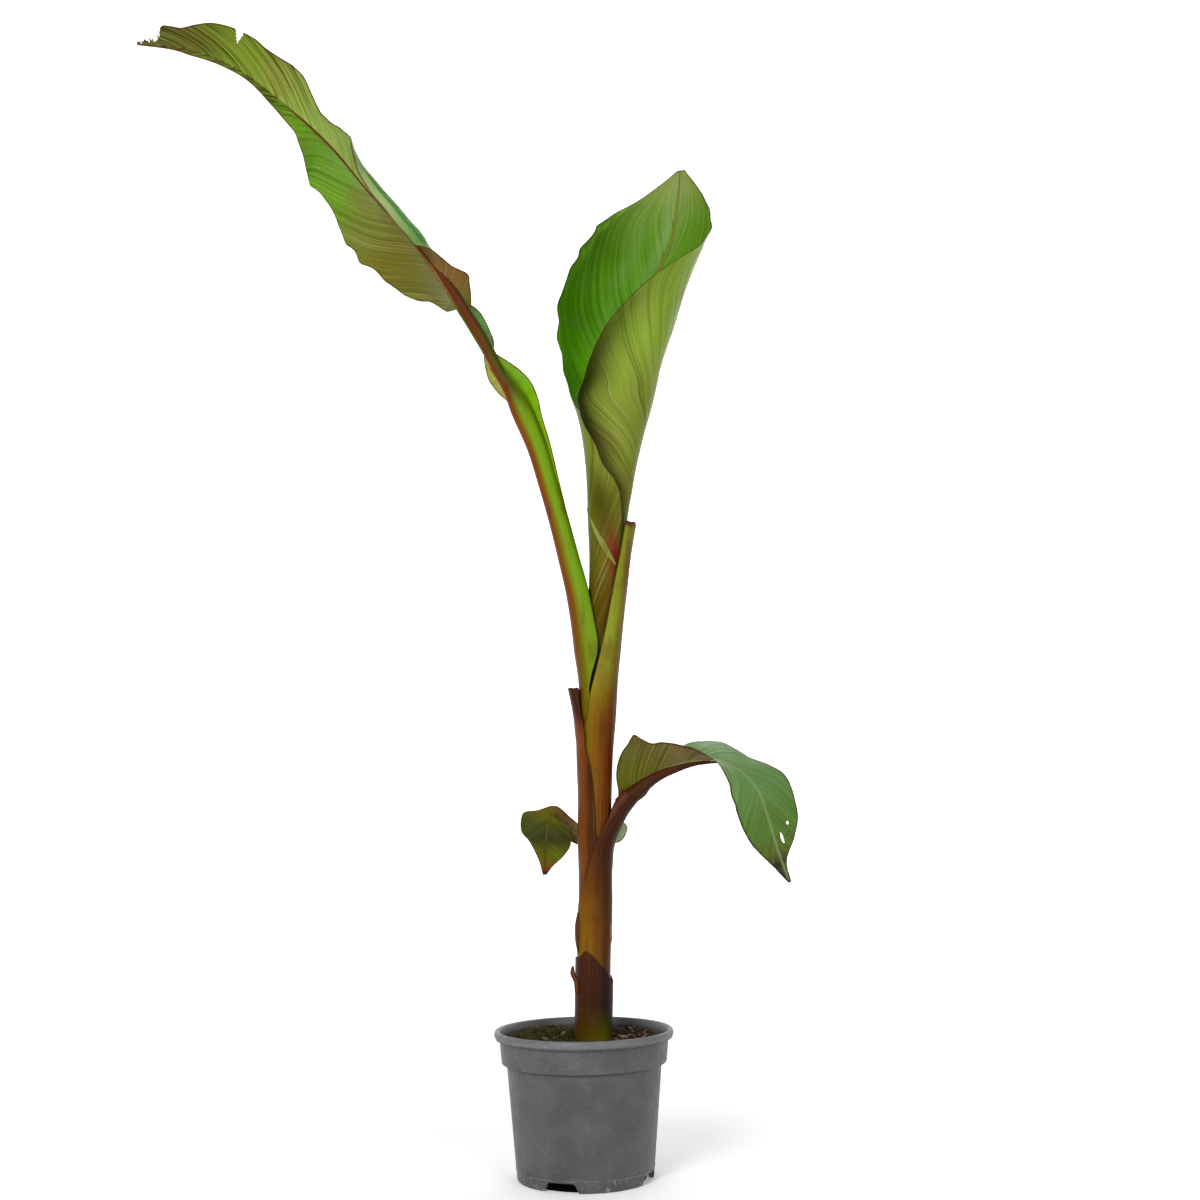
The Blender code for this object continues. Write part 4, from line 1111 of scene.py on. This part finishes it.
def make_stem():
    """The sheaths and stalks, from the foot up."""
    flesh = stalk_look("stem_flesh_look", [(0, 120, 110, 60), (1, 96, 84, 44)])
    frame["nodes"]["stem_core"].data.materials.clear()
    frame["nodes"]["stem_core"].data.materials.append(flesh)
    base = stalk_look(
        "old_base_sheath",
        [
            (0, 46, 22, 14), (0.27, 48, 24, 14), (0.38, 72, 36, 24), (0.48, 58, 30, 20), (0.62, 38, 20, 14),
            (0.75, 32, 16, 10), (1, 42, 22, 14),
        ],
        low=[
            (0, 84, 68, 20), (0.28, 74, 56, 20), (0.4, 84, 68, 22), (0.5, 92, 88, 26), (0.62, 100, 102, 30),
            (0.72, 74, 74, 22), (1, 84, 68, 20),
        ],
        low_share=(0.04, 0.56), inner=(72, 42, 28), streak=0.14,
    )
    sheath(
        "base_sheath_old", BASE_SHEATH, base, "maroon_sheath", ["base_sheath"], 90, 150,
        top=BASE_SHEATH_TOP, jag=2.2,
    )
    # over its own brown, its stops and low stops hold a painted highlight just left of its front and painted
    # shade at its left edge and down its right side
    brown = stalk_look(
        "brown_sheath_look",
        [
            (0, 72, 34, 18), (0.25, 66, 32, 18), (0.31, 104, 58, 34), (0.36, 122, 72, 44),
            (0.41, 104, 60, 34), (0.45, 66, 34, 18), (0.54, 56, 30, 16), (0.7, 60, 32, 16), (1, 72, 34, 18),
        ],
        low=[
            (0, 84, 46, 20), (0.25, 98, 64, 42), (0.32, 138, 100, 66), (0.4, 120, 80, 48),
            (0.46, 102, 64, 32), (0.54, 88, 50, 20), (0.7, 72, 36, 16), (1, 80, 42, 20),
        ],
        low_share=(0.25, 0.6), inner=(50, 24, 16), streak=0.24,
        high=[(0, 60, 30, 20), (0.26, 96, 54, 36), (0.3, 70, 36, 24), (0.5, 52, 26, 18), (1, 60, 30, 20)],
        high_share=(0.86, 0.94),
    )
    sheath("left_cut_stalk", CUT_LEFT, brown, "brown_sheath", ["cut_left_stalk"], 170, 64, jag=2.5)
    olive = stalk_look(
        "olive_sheath_look",
        [
            (0, 110, 50, 28), (0.3, 134, 138, 56), (0.45, 144, 152, 64), (0.56, 136, 146, 60),
            (0.65, 120, 116, 46), (0.72, 104, 56, 30), (1, 104, 52, 30),
        ],
        low=[
            (0, 70, 30, 16), (0.36, 104, 84, 22), (0.45, 118, 92, 24), (0.5, 118, 78, 26),
            (0.55, 108, 62, 26), (0.6, 98, 48, 22), (0.66, 84, 36, 20), (0.75, 64, 28, 18), (1, 60, 24, 14),
        ],
        low_share=(0.58, 0.84), inner=(140, 140, 74), streak=0.3,
        high=[(0, 84, 44, 28), (1, 96, 50, 32)], high_share=(0.985, 0.997),
    )
    sheath("right_cut_stalk", CUT_RIGHT, olive, "olive_sheath", ["cut_right_stalk"], 200, 60, jag=2.0)
    # over its own dark red-brown, golden at its foot, its stops and low stops hold a painted highlight left
    # of its front and painted shade down its right side
    maroon = stalk_look(
        "maroon_sheath_look",
        [
            (0, 56, 26, 16), (0.26, 84, 46, 26), (0.36, 90, 46, 26), (0.45, 78, 38, 22), (0.54, 58, 26, 17),
            (0.64, 52, 24, 16), (0.76, 48, 22, 15), (1, 46, 22, 14),
        ],
        low=[
            (0, 84, 48, 18), (0.27, 126, 88, 42), (0.37, 140, 100, 42), (0.46, 128, 88, 30),
            (0.54, 106, 68, 24), (0.63, 78, 46, 20), (0.7, 76, 48, 22), (0.76, 96, 68, 34), (1, 70, 42, 18),
        ],
        low_share=(0.3, 0.84), inner=(84, 42, 28), streak=0.12, edge_top=0.75,
    )
    side_sheath("right_leaf_sheath", RIGHT_STALK, maroon, "maroon_sheath", ["right_leaf_stalk"], 200, 60)
    lime = stalk_look(
        "lime_stalk_look",
        [
            (0, 86, 38, 18), (0.25, 92, 40, 18), (0.33, 122, 58, 26), (0.39, 124, 76, 30),
            (0.44, 116, 112, 40), (0.49, 114, 146, 44), (0.54, 108, 146, 42), (0.6, 92, 124, 34),
            (0.67, 68, 86, 24), (0.75, 54, 60, 18), (1, 86, 44, 20),
        ],
        low=[
            (0, 96, 50, 24), (0.25, 92, 48, 24), (0.33, 116, 72, 34), (0.4, 104, 98, 34),
            (0.47, 112, 134, 40), (0.54, 114, 142, 40), (0.62, 98, 124, 34), (0.68, 86, 104, 30),
            (0.75, 70, 80, 26), (1, 96, 56, 26),
        ],
        low_share=(0.12, 0.42), inner=(140, 174, 70), streak=0.14, edge_top=0.4,
        high=[
            (0, 96, 44, 22), (0.25, 92, 42, 20), (0.36, 118, 54, 26), (0.43, 100, 54, 22),
            (0.49, 70, 66, 18), (0.56, 62, 74, 16), (0.63, 84, 112, 28), (0.7, 98, 134, 36),
            (1, 96, 50, 24),
        ],
        high_share=(0.82, 0.93),
    )
    sheath("long_leaf_stalk", LONG_STALK, lime, "lime_stalk", ["left_leaf_stalk"], 260, 60, lean=True)
    lobe = leaf_look(
        "leaf_base_front_look", [(0, 120, 150, 50), (1, 110, 150, 70)],
        [
            (0, 122, 156, 50), (0.3, 124, 162, 50), (0.6, 122, 166, 54), (0.85, 112, 154, 60),
            (1, 100, 120, 50),
        ],
        (0.2, 0.2), (70, 40, 24), dusk=0.15, veins=0.35,
        # painted shade: darker olive on the wing near the stalk
        patches_and_shade=((0.0, 0.5, 0.5, 1.2, (58, 68, 12), 0.9),),
    )
    wing("leaf_base_front", LONG_STALK, FRONT_WING, True, lobe)
    pale = leaf_look(
        "leaf_base_rear_look", [(0, 120, 150, 50), (1, 110, 150, 70)],
        [(0, 140, 142, 66), (0.5, 168, 170, 88), (1, 158, 156, 88)],
        (0.2, 0.2), (84, 52, 34), dusk=0.2, veins=0.4,
    )
    wing("leaf_base_rear", LONG_STALK, REAR_WING, False, pale)
    rolled = stalk_look(
        "rolled_leaf_look",
        [
            (0, 92, 50, 26), (0.22, 104, 104, 46), (0.33, 120, 124, 58), (0.42, 96, 84, 34),
            (0.52, 88, 56, 26), (0.62, 120, 54, 36), (0.76, 84, 36, 24), (1, 92, 50, 26),
        ],
        low=[
            (0, 84, 44, 22), (0.25, 78, 60, 24), (0.35, 106, 94, 44), (0.45, 106, 66, 34),
            (0.55, 104, 50, 30), (0.66, 92, 40, 26), (0.75, 66, 28, 16), (1, 84, 44, 22),
        ],
        low_share=(0.3, 0.75), streak=0.35,
    )
    core = tuple((z, x, radius - 2.6) for z, x, radius in CENTRE_STALK)
    upright_tube("rolled_leaf_core", core, rolled, "lime_stalk", ["centre_leaf_stalk"], 90, 64)
    pale = stalk_look(
        "rolled_edge_look", [(0, 104, 116, 52), (0.5, 128, 134, 70), (1, 100, 100, 46)], streak=0.3,
    )
    turn = np.radians([row[1] for row in ROLLED_EDGE])
    line = [(x + r * math.sin(a), -r * math.cos(a), z) for (z, _, x, r), a in zip(ROLLED_EDGE, turn)]
    flap(
        "rolled_leaf_edge", line, ((0, 1.6), (0.3, 6.4), (0.7, 7.4), (1, 3)), 24, 0.5, pale, "lime_stalk",
        ["centre_leaf_stalk"], tilt=-10,
    )
    make_scraps()


def make_scraps():
    """Bits of old sheath that peel away from the stem."""
    pink = stalk_look(
        "dry_pink_scrap", [(0, 160, 104, 88), (0.5, 184, 132, 114), (1, 150, 96, 80)], streak=0.35,
    )
    dark = stalk_look("dry_dark_scrap", [(0, 92, 52, 40), (0.5, 110, 64, 50), (1, 80, 44, 34)], streak=0.35)
    scraps = (
        (
            "scrap_low_left", ((-7.6, -13, 190), (-8.6, -15, 203), (-12.0, -16, 212), (-11.0, -17, 219)),
            ((0, 6), (0.7, 7), (1, 3)), 120, dark, 30,
        ),
        (
            "scrap_left", ((-5.6, -8, 232), (-7.6, -9, 248), (-7.3, -9, 262), (-5.2, -8, 274)),
            ((0, 2), (0.5, 7), (1, 2)), 70, dark, 60,
        ),
        (
            "scrap_right", ((29.4, -6, 236), (31.1, -7, 248), (31.0, -7, 258), (29.4, -6, 268)),
            ((0, 2), (0.5, 6), (1, 2)), 70, pink, -60,
        ),
    )
    for name, line, widths, curl, look, tilt in scraps:
        flap(name, line, widths, curl, 0.9, look, "maroon_sheath", ["base_sheath"], tilt=tilt)


# ---- blades ----------------------------------------------------------------------
def strip(path, onward, upward, width, first, last, s):
    """A strip that leaves a path onward, and whose lift goes from its first to its last angle."""
    bend = np.radians(last - first)
    bend = np.where(np.abs(bend) < 1e-4, 1e-4, bend)
    a = np.radians(first)
    out = (np.sin(a + bend * s) - np.sin(a)) / bend
    lift = (np.cos(a) - np.cos(a + bend * s)) / bend
    level = path[:, None] + (width * out)[..., None] * onward[:, None]
    return level + (width * lift)[..., None] * upward[:, None]


def blade_grid(spine, front_rows, rear_rows, stations, steps, side, shape):
    """Middle surface of a blade, shares along and across it, widths, and its midrib's length, up and path."""
    share = np.linspace(0, 1, stations)
    path = path_at(spine, share)
    _, right, front = frames(path)
    up = side * right
    s = np.linspace(0, 1, steps + 1)
    s = 0.75 * s + 0.25 * np.sin(s * math.pi / 2)
    grids = []
    for rows, direction in ((front_rows, front), (rear_rows, -front)):
        width, first, last = (column[:, None] for column in curve(rows, share).T)
        if shape:
            width = width * shape(share, direction is front)[:, None]
        grids.append((strip(path, direction, up, width, first, last, s[None]), width * s))
    (fore, fore_w), (rear, rear_w) = grids
    grid = np.concatenate([fore[:, :0:-1], rear], axis=1)
    across = np.concatenate([-fore_w[:, :0:-1], rear_w], axis=1)
    signed = np.concatenate([-s[:0:-1], s])
    length = np.linalg.norm(np.diff(path, axis=0), axis=1).sum()
    return grid, share, signed, across, length, up, path


def blade(
    name, spine, front_rows, rear_rows, thick, look, slot, nodes, stations, steps, side, slope, margin,
    shape=None, holes=None,
):
    """A thin leaf blade with pleats along its side veins, a wavy margin, and any holes or tears.

    side says which way the upper face looks, slope how far the side veins lean at the foot and at the tip,
    shape scales the widths, and holes says which cells of the grid stay."""
    grid, share, signed, across, length, up, path = blade_grid(
        spine, front_rows, rear_rows, stations, steps, side, shape
    )
    normal = normals_of(grid)
    middle = grid.shape[1] // 2
    turned = np.sign((normal[:, middle] * up).sum(1))[:, None, None]
    normal = normal * turned
    t = share[:, None]
    run = t * length - (slope[0] + (slope[1] - slope[0]) * t ** VEIN_BEND) * np.abs(across)
    soft = smooth(np.abs(signed), 0.05, 0.3)[None]
    rise = PLEAT * soft * ripple(stack(across / 9, run, 0), 4.0, 9.0)
    wave = ripple(stack(t * length, 30 * np.sign(signed), 0), 17.0, 3.0)
    rise = rise + margin * smooth(np.abs(signed), 0.55, 1.0)[None] * wave * smooth(t, 0.0, 0.06)
    rise = rise - GROOVE_DEPTH * np.exp(-((across / GROOVE_REACH) ** 2))
    grid = grid + rise[..., None] * normal
    top = grid + thick / 2 * normal
    bottom = grid - thick / 2 * normal
    edge = edge_distance(grid)
    keep = None
    if holes is not None:
        centre = 0.25 * (grid[:-1, :-1] + grid[1:, :-1] + grid[:-1, 1:] + grid[1:, 1:])
        t_mid, s_mid = 0.5 * (share[1:] + share[:-1])[:, None], 0.5 * (signed[1:] + signed[:-1])[None]
        keep = holes(centre, t_mid + 0 * s_mid, s_mid + 0 * t_mid)
    piece = shell(name, top, bottom, stack(t, signed, edge / 10), look, slot, nodes, keep)
    add_run(piece, stack(across / 100, t * length / 100, 0), keep)
    return path, up, share


def add_run(piece, run_grid, keep=None):
    """Stores distances from the midrib and along the blade, in units of 100 mm, for the vein patterns."""
    used = np.full(run_grid.shape[:2], keep is None)
    if keep is not None:
        used[:-1, :-1] |= keep
        used[1:, :-1] |= keep
        used[:-1, 1:] |= keep
        used[1:, 1:] |= keep
    values = np.concatenate([run_grid[used]] * 2)
    layer = piece.data.attributes.new("run", "FLOAT_VECTOR", "POINT")
    layer.data.foreach_set("vector", np.asarray(values, np.float32).ravel())


def midrib(name, path, up, share, radii, rise, look, slot, nodes):
    """The raised rib under a blade."""
    radius = curve(radii, share)[:, 0]
    if not np.isscalar(rise):
        rise = curve(rise, share)[:, 0]
    centre = path + up * (radius * rise)[:, None]
    tube(name, centre, radius, look, slot, nodes, 24)


def make_long_leaf():
    """The leaf that leans to the upper left, its front half folded over the midrib."""
    rear = [
        (0, 136, 156, 84), (0.1, 120, 140, 66), (0.18, 78, 124, 70), (0.215, 104, 104, 48),
        (0.38, 112, 108, 48), (0.46, 120, 130, 64), (0.54, 112, 154, 62), (0.62, 104, 150, 58),
        (0.68, 102, 138, 56), (0.76, 84, 100, 38), (0.88, 86, 86, 42), (1, 84, 68, 38),
    ]
    front = [
        (0, 104, 150, 40), (0.1, 84, 112, 36), (0.19, 72, 84, 30), (0.26, 120, 92, 58), (0.4, 116, 108, 56),
        (0.52, 138, 158, 90), (0.62, 144, 166, 92), (0.7, 138, 156, 80), (0.8, 120, 140, 62),
        (0.9, 84, 98, 40), (1, 92, 84, 50),
    ]
    upper = [
        (0, 84, 130, 64), (0.12, 70, 116, 56), (0.15, 96, 142, 84), (0.24, 84, 128, 72), (0.4, 86, 130, 74),
        (0.55, 76, 112, 48), (0.7, 90, 112, 44), (1, 88, 90, 40),
    ]
    look = leaf_look(
        "long_leaf_look", upper, rear, LONG_SLOPE, (84, 48, 32), dusk=0.25, under_front=front,
        streaks=(0.56, 0.74), turned=(0.43, 0.16, (150, 168, 112)),
    )

    def notches(share, is_front):
        """Bumps along the rear margin."""
        scale = np.ones_like(share)
        if not is_front:
            for at, deep in BUMPS:
                scale += deep * np.exp(-(((share - at) / BUMP_REACH) ** 2))
        return scale

    def torn(_, t, s):
        """The V-shaped nick in the upper margin and the ragged tip."""
        nick = (np.abs(t - NICK_AT + 0.004 * s) < 0.0075 * np.clip((-s - 0.62) / 0.38, 0, 1)) & (s < 0)
        frayed = (t > FRAY_FROM) & (s < 0.45 * np.sin(t * 2600) * np.sin(t * 910) - 0.72)
        return ~(nick | frayed)

    path, up, share = blade(
        "long_leaf", LONG_SPINE, LONG_FRONT, LONG_REAR, LARGE_LEAF_THICK, look, "leaf_green",
        ["left_leaf_blade"], stations=480, steps=36, side=1, slope=LONG_SLOPE, margin=1.2,
        shape=notches, holes=torn,
    )
    rib = stalk_look(
        "long_midrib_look",
        [
            (0, 76, 34, 16), (0.25, 84, 40, 18), (0.36, 104, 46, 20), (0.46, 96, 38, 14),
            (0.56, 68, 34, 12), (0.63, 66, 62, 18), (0.68, 72, 92, 28), (0.76, 70, 90, 28), (1, 80, 40, 20),
        ],
        low=[
            (0, 84, 38, 18), (0.25, 104, 52, 26), (0.35, 118, 60, 28), (0.42, 100, 62, 24),
            (0.49, 70, 68, 18), (0.6, 58, 70, 14), (0.7, 66, 84, 20), (1, 84, 44, 20),
        ],
        low_share=(0.08, 0.2), streak=0.1,
    )
    midrib("long_leaf_midrib", path, up, share, LONG_RIB, LONG_RISE, rib, "leaf_green", ["left_leaf_blade"])


def make_centre_leaf():
    """The newest leaf: a funnel whose left margin wraps over its right one low down."""
    stations, steps = 270, 78
    heights = np.linspace(FUNNEL[0][0], FUNNEL[-1][0], stations)
    centre_x, radius, right_edge, left_edge = curve(FUNNEL, heights).T
    s = np.linspace(0, 1, steps + 1)
    angle = np.concatenate([
        (right_edge[:, None] + (FUNNEL_MIDRIB - right_edge)[:, None] * s[None])[:, :-1],
        FUNNEL_MIDRIB + (left_edge - FUNNEL_MIDRIB)[:, None] * s[None],
    ], axis=1)
    signed = np.concatenate([s - 1, s[1:]])
    t = np.linspace(0, 1, stations)[:, None]
    z = heights[:, None]
    across = FUNNEL_HALF * signed[None] + 0 * angle
    turn = np.radians(angle)[..., None]
    out = np.concatenate([np.sin(turn), -np.cos(turn), 0 * turn], -1)
    path = np.column_stack([centre_x, 0 * heights, heights])
    size = np.ones_like(angle) * radius[:, None]
    size += 1.6 * (1 - smooth(z, 800, 900)) * (0.5 - 0.5 * signed[None])
    run = z - FUNNEL_SLOPE * np.abs(across)
    size += 0.3 * smooth(np.abs(signed), 0.04, 0.2)[None] * ripple(stack(across / 9, run, 0), 5.0, 5.0)
    wave = ripple(stack(z, 40 * np.sign(signed), 0), 19.0, 7.0)
    size += 2.2 * smooth(np.abs(signed), 0.7, 1.0)[None] * wave * smooth(z, 740, 860)
    size += 3.2 * smooth(signed, 0.9, 1.0)[None] * smooth(z, 820, 900) * (1 - smooth(z, 1010, 1090))
    for at, wide, deep in FUNNEL_TEETH:
        size += deep * np.exp(-(((z - at) / wide) ** 2)) * smooth(signed, 0.86, 1.0)[None]
    size -= 1.2 * np.exp(-((across / 3.0) ** 2))
    outer = path[:, None] + size[..., None] * out
    inner = path[:, None] + (size - LARGE_LEAF_THICK)[..., None] * out
    edge = edge_distance(outer)
    place = stack(t, signed, edge / 10)
    upper = [
        (0, 146, 220, 86), (0.45, 152, 224, 94), (0.6, 132, 198, 74), (0.72, 98, 150, 52),
        (0.86, 98, 138, 54), (1, 132, 144, 82),
    ]
    under = [
        (0, 92, 56, 30), (0.12, 92, 72, 28), (0.27, 108, 108, 46), (0.45, 124, 138, 64),
        (0.65, 140, 166, 76), (0.85, 150, 184, 88), (1, 140, 150, 82),
    ]
    look = leaf_look(
        "centre_leaf_look", upper, under, 2 * (FUNNEL_SLOPE,), (60, 38, 20), dusk=0.1, gloss=0.3, veins=1.3,
        patches_and_shade=(
            # the first two rows are painted shade on the underside towards the margin at across -1, about
            # halfway up
            (-1.0, 0.3, 0.5, 0.36, (36, 38, 6), 1.0),
            (-0.98, 0.12, 0.5, 0.3, (30, 30, 4), 0.6),
            (0.79, 0.15, 0.225, 0.085, (116, 46, 44), 1.0),
            (0.7, 0.22, 0.32, 0.1, (60, 54, 12), 0.8),
            (0.85, 0.25, 0.1, 0.14, (102, 58, 42), 0.75),
            (0.6, 0.16, 0.08, 0.12, (72, 62, 18), 0.6),
        ),
    )
    piece = shell(
        "centre_leaf", inner, outer, place, look, "leaf_green", ["centre_leaf_blade", "centre_leaf_stalk"],
    )
    add_run(piece, stack(across / 100, z / 100, 0))
    rib_turn = math.radians(FUNNEL_MIDRIB)
    direction = np.array([math.sin(rib_turn), -math.cos(rib_turn), 0])
    rib_radius = curve(FUNNEL_RIB, t[:, 0])[:, 0]
    rib_path = path + (radius + 0.35 * rib_radius - 1.2)[:, None] * direction
    rib = stalk_look("centre_midrib_look", [(0, 120, 132, 60), (0.5, 132, 120, 62), (1, 126, 96, 54)])
    tube("centre_leaf_midrib", rib_path, rib_radius, rib, "leaf_green", ["centre_leaf_blade"], 20)


def make_right_leaf():
    """The drooping leaf: one continuous blade over the two solids that meet at its bend."""
    spine = INNER_SPINE[:-1] + OUTER_SPINE
    steps = [np.diff(np.array(line, float), axis=0) for line in (INNER_SPINE, OUTER_SPINE)]
    lengths = [np.linalg.norm(step, axis=1).sum() for step in steps]
    bend = lengths[0] / sum(lengths)
    front = tuple((t * bend, *row) for t, *row in INNER_FRONT[:-1])
    front += tuple((bend + t * (1 - bend), *row) for t, *row in OUTER_FRONT[1:])
    rear = tuple((t * bend, *row) for t, *row in INNER_REAR[:-1])
    rear += tuple((bend + t * (1 - bend), *row) for t, *row in OUTER_REAR[1:])
    upper = [
        (0, 84, 118, 48), (0.3, 104, 138, 78), (0.45, 116, 146, 96), (0.6, 108, 140, 88),
        (0.78, 94, 124, 66), (0.87, 92, 108, 52), (0.9, 84, 80, 42), (0.918, 40, 28, 20), (1, 24, 18, 14),
    ]
    under = [(0, 40, 22, 14), (0.2, 44, 26, 16), (0.28, 84, 66, 36), (0.6, 116, 108, 62), (1, 40, 30, 22)]
    inner = [
        (0, 84, 88, 30), (0.13, 88, 90, 34), (0.21, 92, 84, 44), (0.3, 108, 92, 64), (0.42, 132, 118, 90),
        (1, 40, 30, 22),
    ]
    look = leaf_look(
        "drooping_leaf_look", upper, under, DROOP_SLOPE, (48, 30, 20), dusk=0.3, midrib=(140, 156, 108),
        rim_width=0.34, veins=1.5, under_front=inner,
    )

    def bites(centre, *_):
        """Two holes near the right margin."""
        whole = np.ones(centre.shape[:2], bool)
        for x, z, wide, tall, lean in HOLES:
            climb = centre[..., 2] - z
            whole &= np.hypot((centre[..., 0] - x + lean * climb) / wide, climb / tall) > 1
        return whole

    path, up, share = blade(
        "drooping_leaf", spine, front, rear, LEAF_THICK, look, "leaf_green",
        ["right_leaf_inner_blade", "right_leaf_outer_blade"], stations=300, steps=40, side=-1,
        slope=DROOP_SLOPE, margin=1.3, holes=bites,
    )
    rib = stalk_look(
        "right_midrib_look",
        [(0, 60, 28, 16), (0.4, 70, 36, 20), (0.52, 56, 28, 14), (0.75, 38, 18, 10), (1, 52, 24, 14)],
    )
    midrib(
        "drooping_leaf_midrib", path, up, share, DROOP_RIB, DROOP_RISE, rib, "leaf_dusky",
        ["right_leaf_inner_blade"],
    )


def make_back_leaf():
    """The small low leaf that starts right of the stem, passes behind it and hangs at its left."""
    # the first two stops, at the foot right of the stem, are its pale green made paler still: painted light
    # against the shadow of the stem
    upper = [
        (0, 206, 228, 182), (0.13, 190, 212, 160), (0.3, 140, 122, 88), (0.42, 136, 102, 76),
        (0.52, 122, 96, 56), (0.6, 92, 88, 22), (0.68, 58, 60, 6), (0.76, 48, 50, 4), (0.86, 80, 82, 10),
        (0.94, 100, 76, 24), (0.965, 120, 52, 28), (0.98, 44, 26, 18), (1, 30, 22, 18),
    ]
    under = [
        (0, 206, 228, 182), (0.13, 190, 212, 160), (0.3, 136, 118, 84), (0.45, 118, 84, 60),
        (0.65, 84, 70, 32), (0.9, 96, 76, 28), (0.96, 120, 52, 28), (1, 40, 24, 20),
    ]
    look = leaf_look(
        "back_leaf_look", upper, under, BACK_SLOPE, (84, 64, 34), dusk=0.4, veins=0.5, gloss=0.6,
    )
    path, up, share = blade(
        "low_back_leaf", BACK_SPINE, BACK_FRONT, BACK_REAR, LEAF_THICK, look, "leaf_dusky",
        ["back_leaf_blade"], stations=150, steps=30, side=1, slope=BACK_SLOPE, margin=1.0,
    )
    rib = stalk_look(
        "back_midrib_look", [(0, 92, 88, 50), (0.5, 104, 100, 60), (1, 88, 82, 46)], streak=0.1,
    )
    midrib("low_back_leaf_midrib", path, up, share, BACK_RIB, -1.0, rib, "leaf_dusky", ["back_leaf_blade"])
    points = [row[0] for row in BACK_STALK]
    share = np.linspace(0, 1, 60)
    radii = np.interp(share, np.linspace(0, 1, len(BACK_STALK)), [row[1] for row in BACK_STALK])
    tube(
        "low_back_leaf_stalk", path_at(points, share), radii, rib, "maroon_sheath", ["back_leaf_stalk"], 24,
    )


# ---- stage -----------------------------------------------------------------------
def make_stage():
    """The paper floor and backdrop, the softboxes and the camera."""
    scene = bpy.context.scene
    rows = [(-4000, 0), (1600, 0), (2100, 60), (2500, 300), (2750, 800), (2800, 4000)]
    y, z = np.array(rows, float).T
    verts = [(x, a, b - 0.15) for a, b in zip(y, z) for x in (-5000, 5000)]
    faces = [(2 * i, 2 * i + 1, 2 * i + 3, 2 * i + 2) for i in range(len(rows) - 1)]
    mesh = bpy.data.meshes.new("studio_floor")
    mesh.from_pydata((np.array(verts) * MM).tolist(), [], faces)
    floor = bpy.data.objects.new("studio_floor", mesh)
    scene.collection.objects.link(floor)
    look = Look("studio_paper")
    paper = look.noise(look.spot(), 3, 2)
    white = look.mix(look.band(paper, 0.3, 0.7), tone(246, 246, 246), tone(250, 250, 250))
    mesh.materials.append(look.finish(white, 0.9, specular=0.1))
    look.shader.inputs["Emission Color"].default_value = (1, 1, 1, 1)
    _, depth, _ = look.split(look.spot())
    look.put(look.shader.inputs["Emission Strength"], look.band(depth, 0.2, 2.3, *FLOOR_GLOW))
    world = bpy.data.worlds.new("studio")
    world.use_nodes = True
    world.node_tree.nodes["Background"].inputs[0].default_value = (1, 1, 1, 1)
    world.node_tree.nodes["Background"].inputs[1].default_value = WORLD_LIGHT
    scene.world = world
    lights = (
        ("softbox_key", (-1.0, -2.3, 1.7), (0, 0, 0.62), 1.1, 45),
        ("softbox_fill", (1.5, -2.1, 1.3), (0, 0, 0.6), 1.3, 17),
        ("softbox_top", (0.0, -0.3, 3.0), (0, 0, 0.5), 2.0, 14),
        ("softbox_back", (0.4, 1.9, 2.2), (0, 0, 0.9), 1.4, 8),
    )
    for name, place, target, size, power in lights:
        light = bpy.data.lights.new(name, "AREA")
        light.shape = "DISK"
        light.size = size
        light.energy = power
        item = bpy.data.objects.new(name, light)
        item.location = place
        item.rotation_euler = (Vector(target) - Vector(place)).to_track_quat("-Z", "Y").to_euler()
        scene.collection.objects.link(item)
    make_camera(scene)
    scene.view_settings.view_transform = "Standard"
    scene.view_settings.look = "None"


def make_camera(scene):
    """The camera, turned by its pitch and roll."""
    pitch, roll = math.radians(CAMERA_PITCH), math.radians(CAMERA_ROLL)
    forward = Vector((0, math.cos(pitch), math.sin(pitch)))
    up = Vector((0, -math.sin(pitch), math.cos(pitch)))
    right = Vector((1, 0, 0))
    side = math.cos(roll) * right + math.sin(roll) * up
    top = -math.sin(roll) * right + math.cos(roll) * up
    data = bpy.data.cameras.new("camera")
    data.sensor_width = 36
    data.lens = CAMERA_LENS
    data.clip_end = 50
    camera = bpy.data.objects.new("camera", data)
    turn = Matrix((side, top, -forward)).transposed().to_4x4()
    camera.matrix_world = Matrix.Translation(CAMERA_PLACE) @ turn
    scene.collection.objects.link(camera)
    scene.camera = camera


make_pot()
make_soil()
make_stem()
make_long_leaf()
make_centre_leaf()
make_right_leaf()
make_back_leaf()
make_stage()
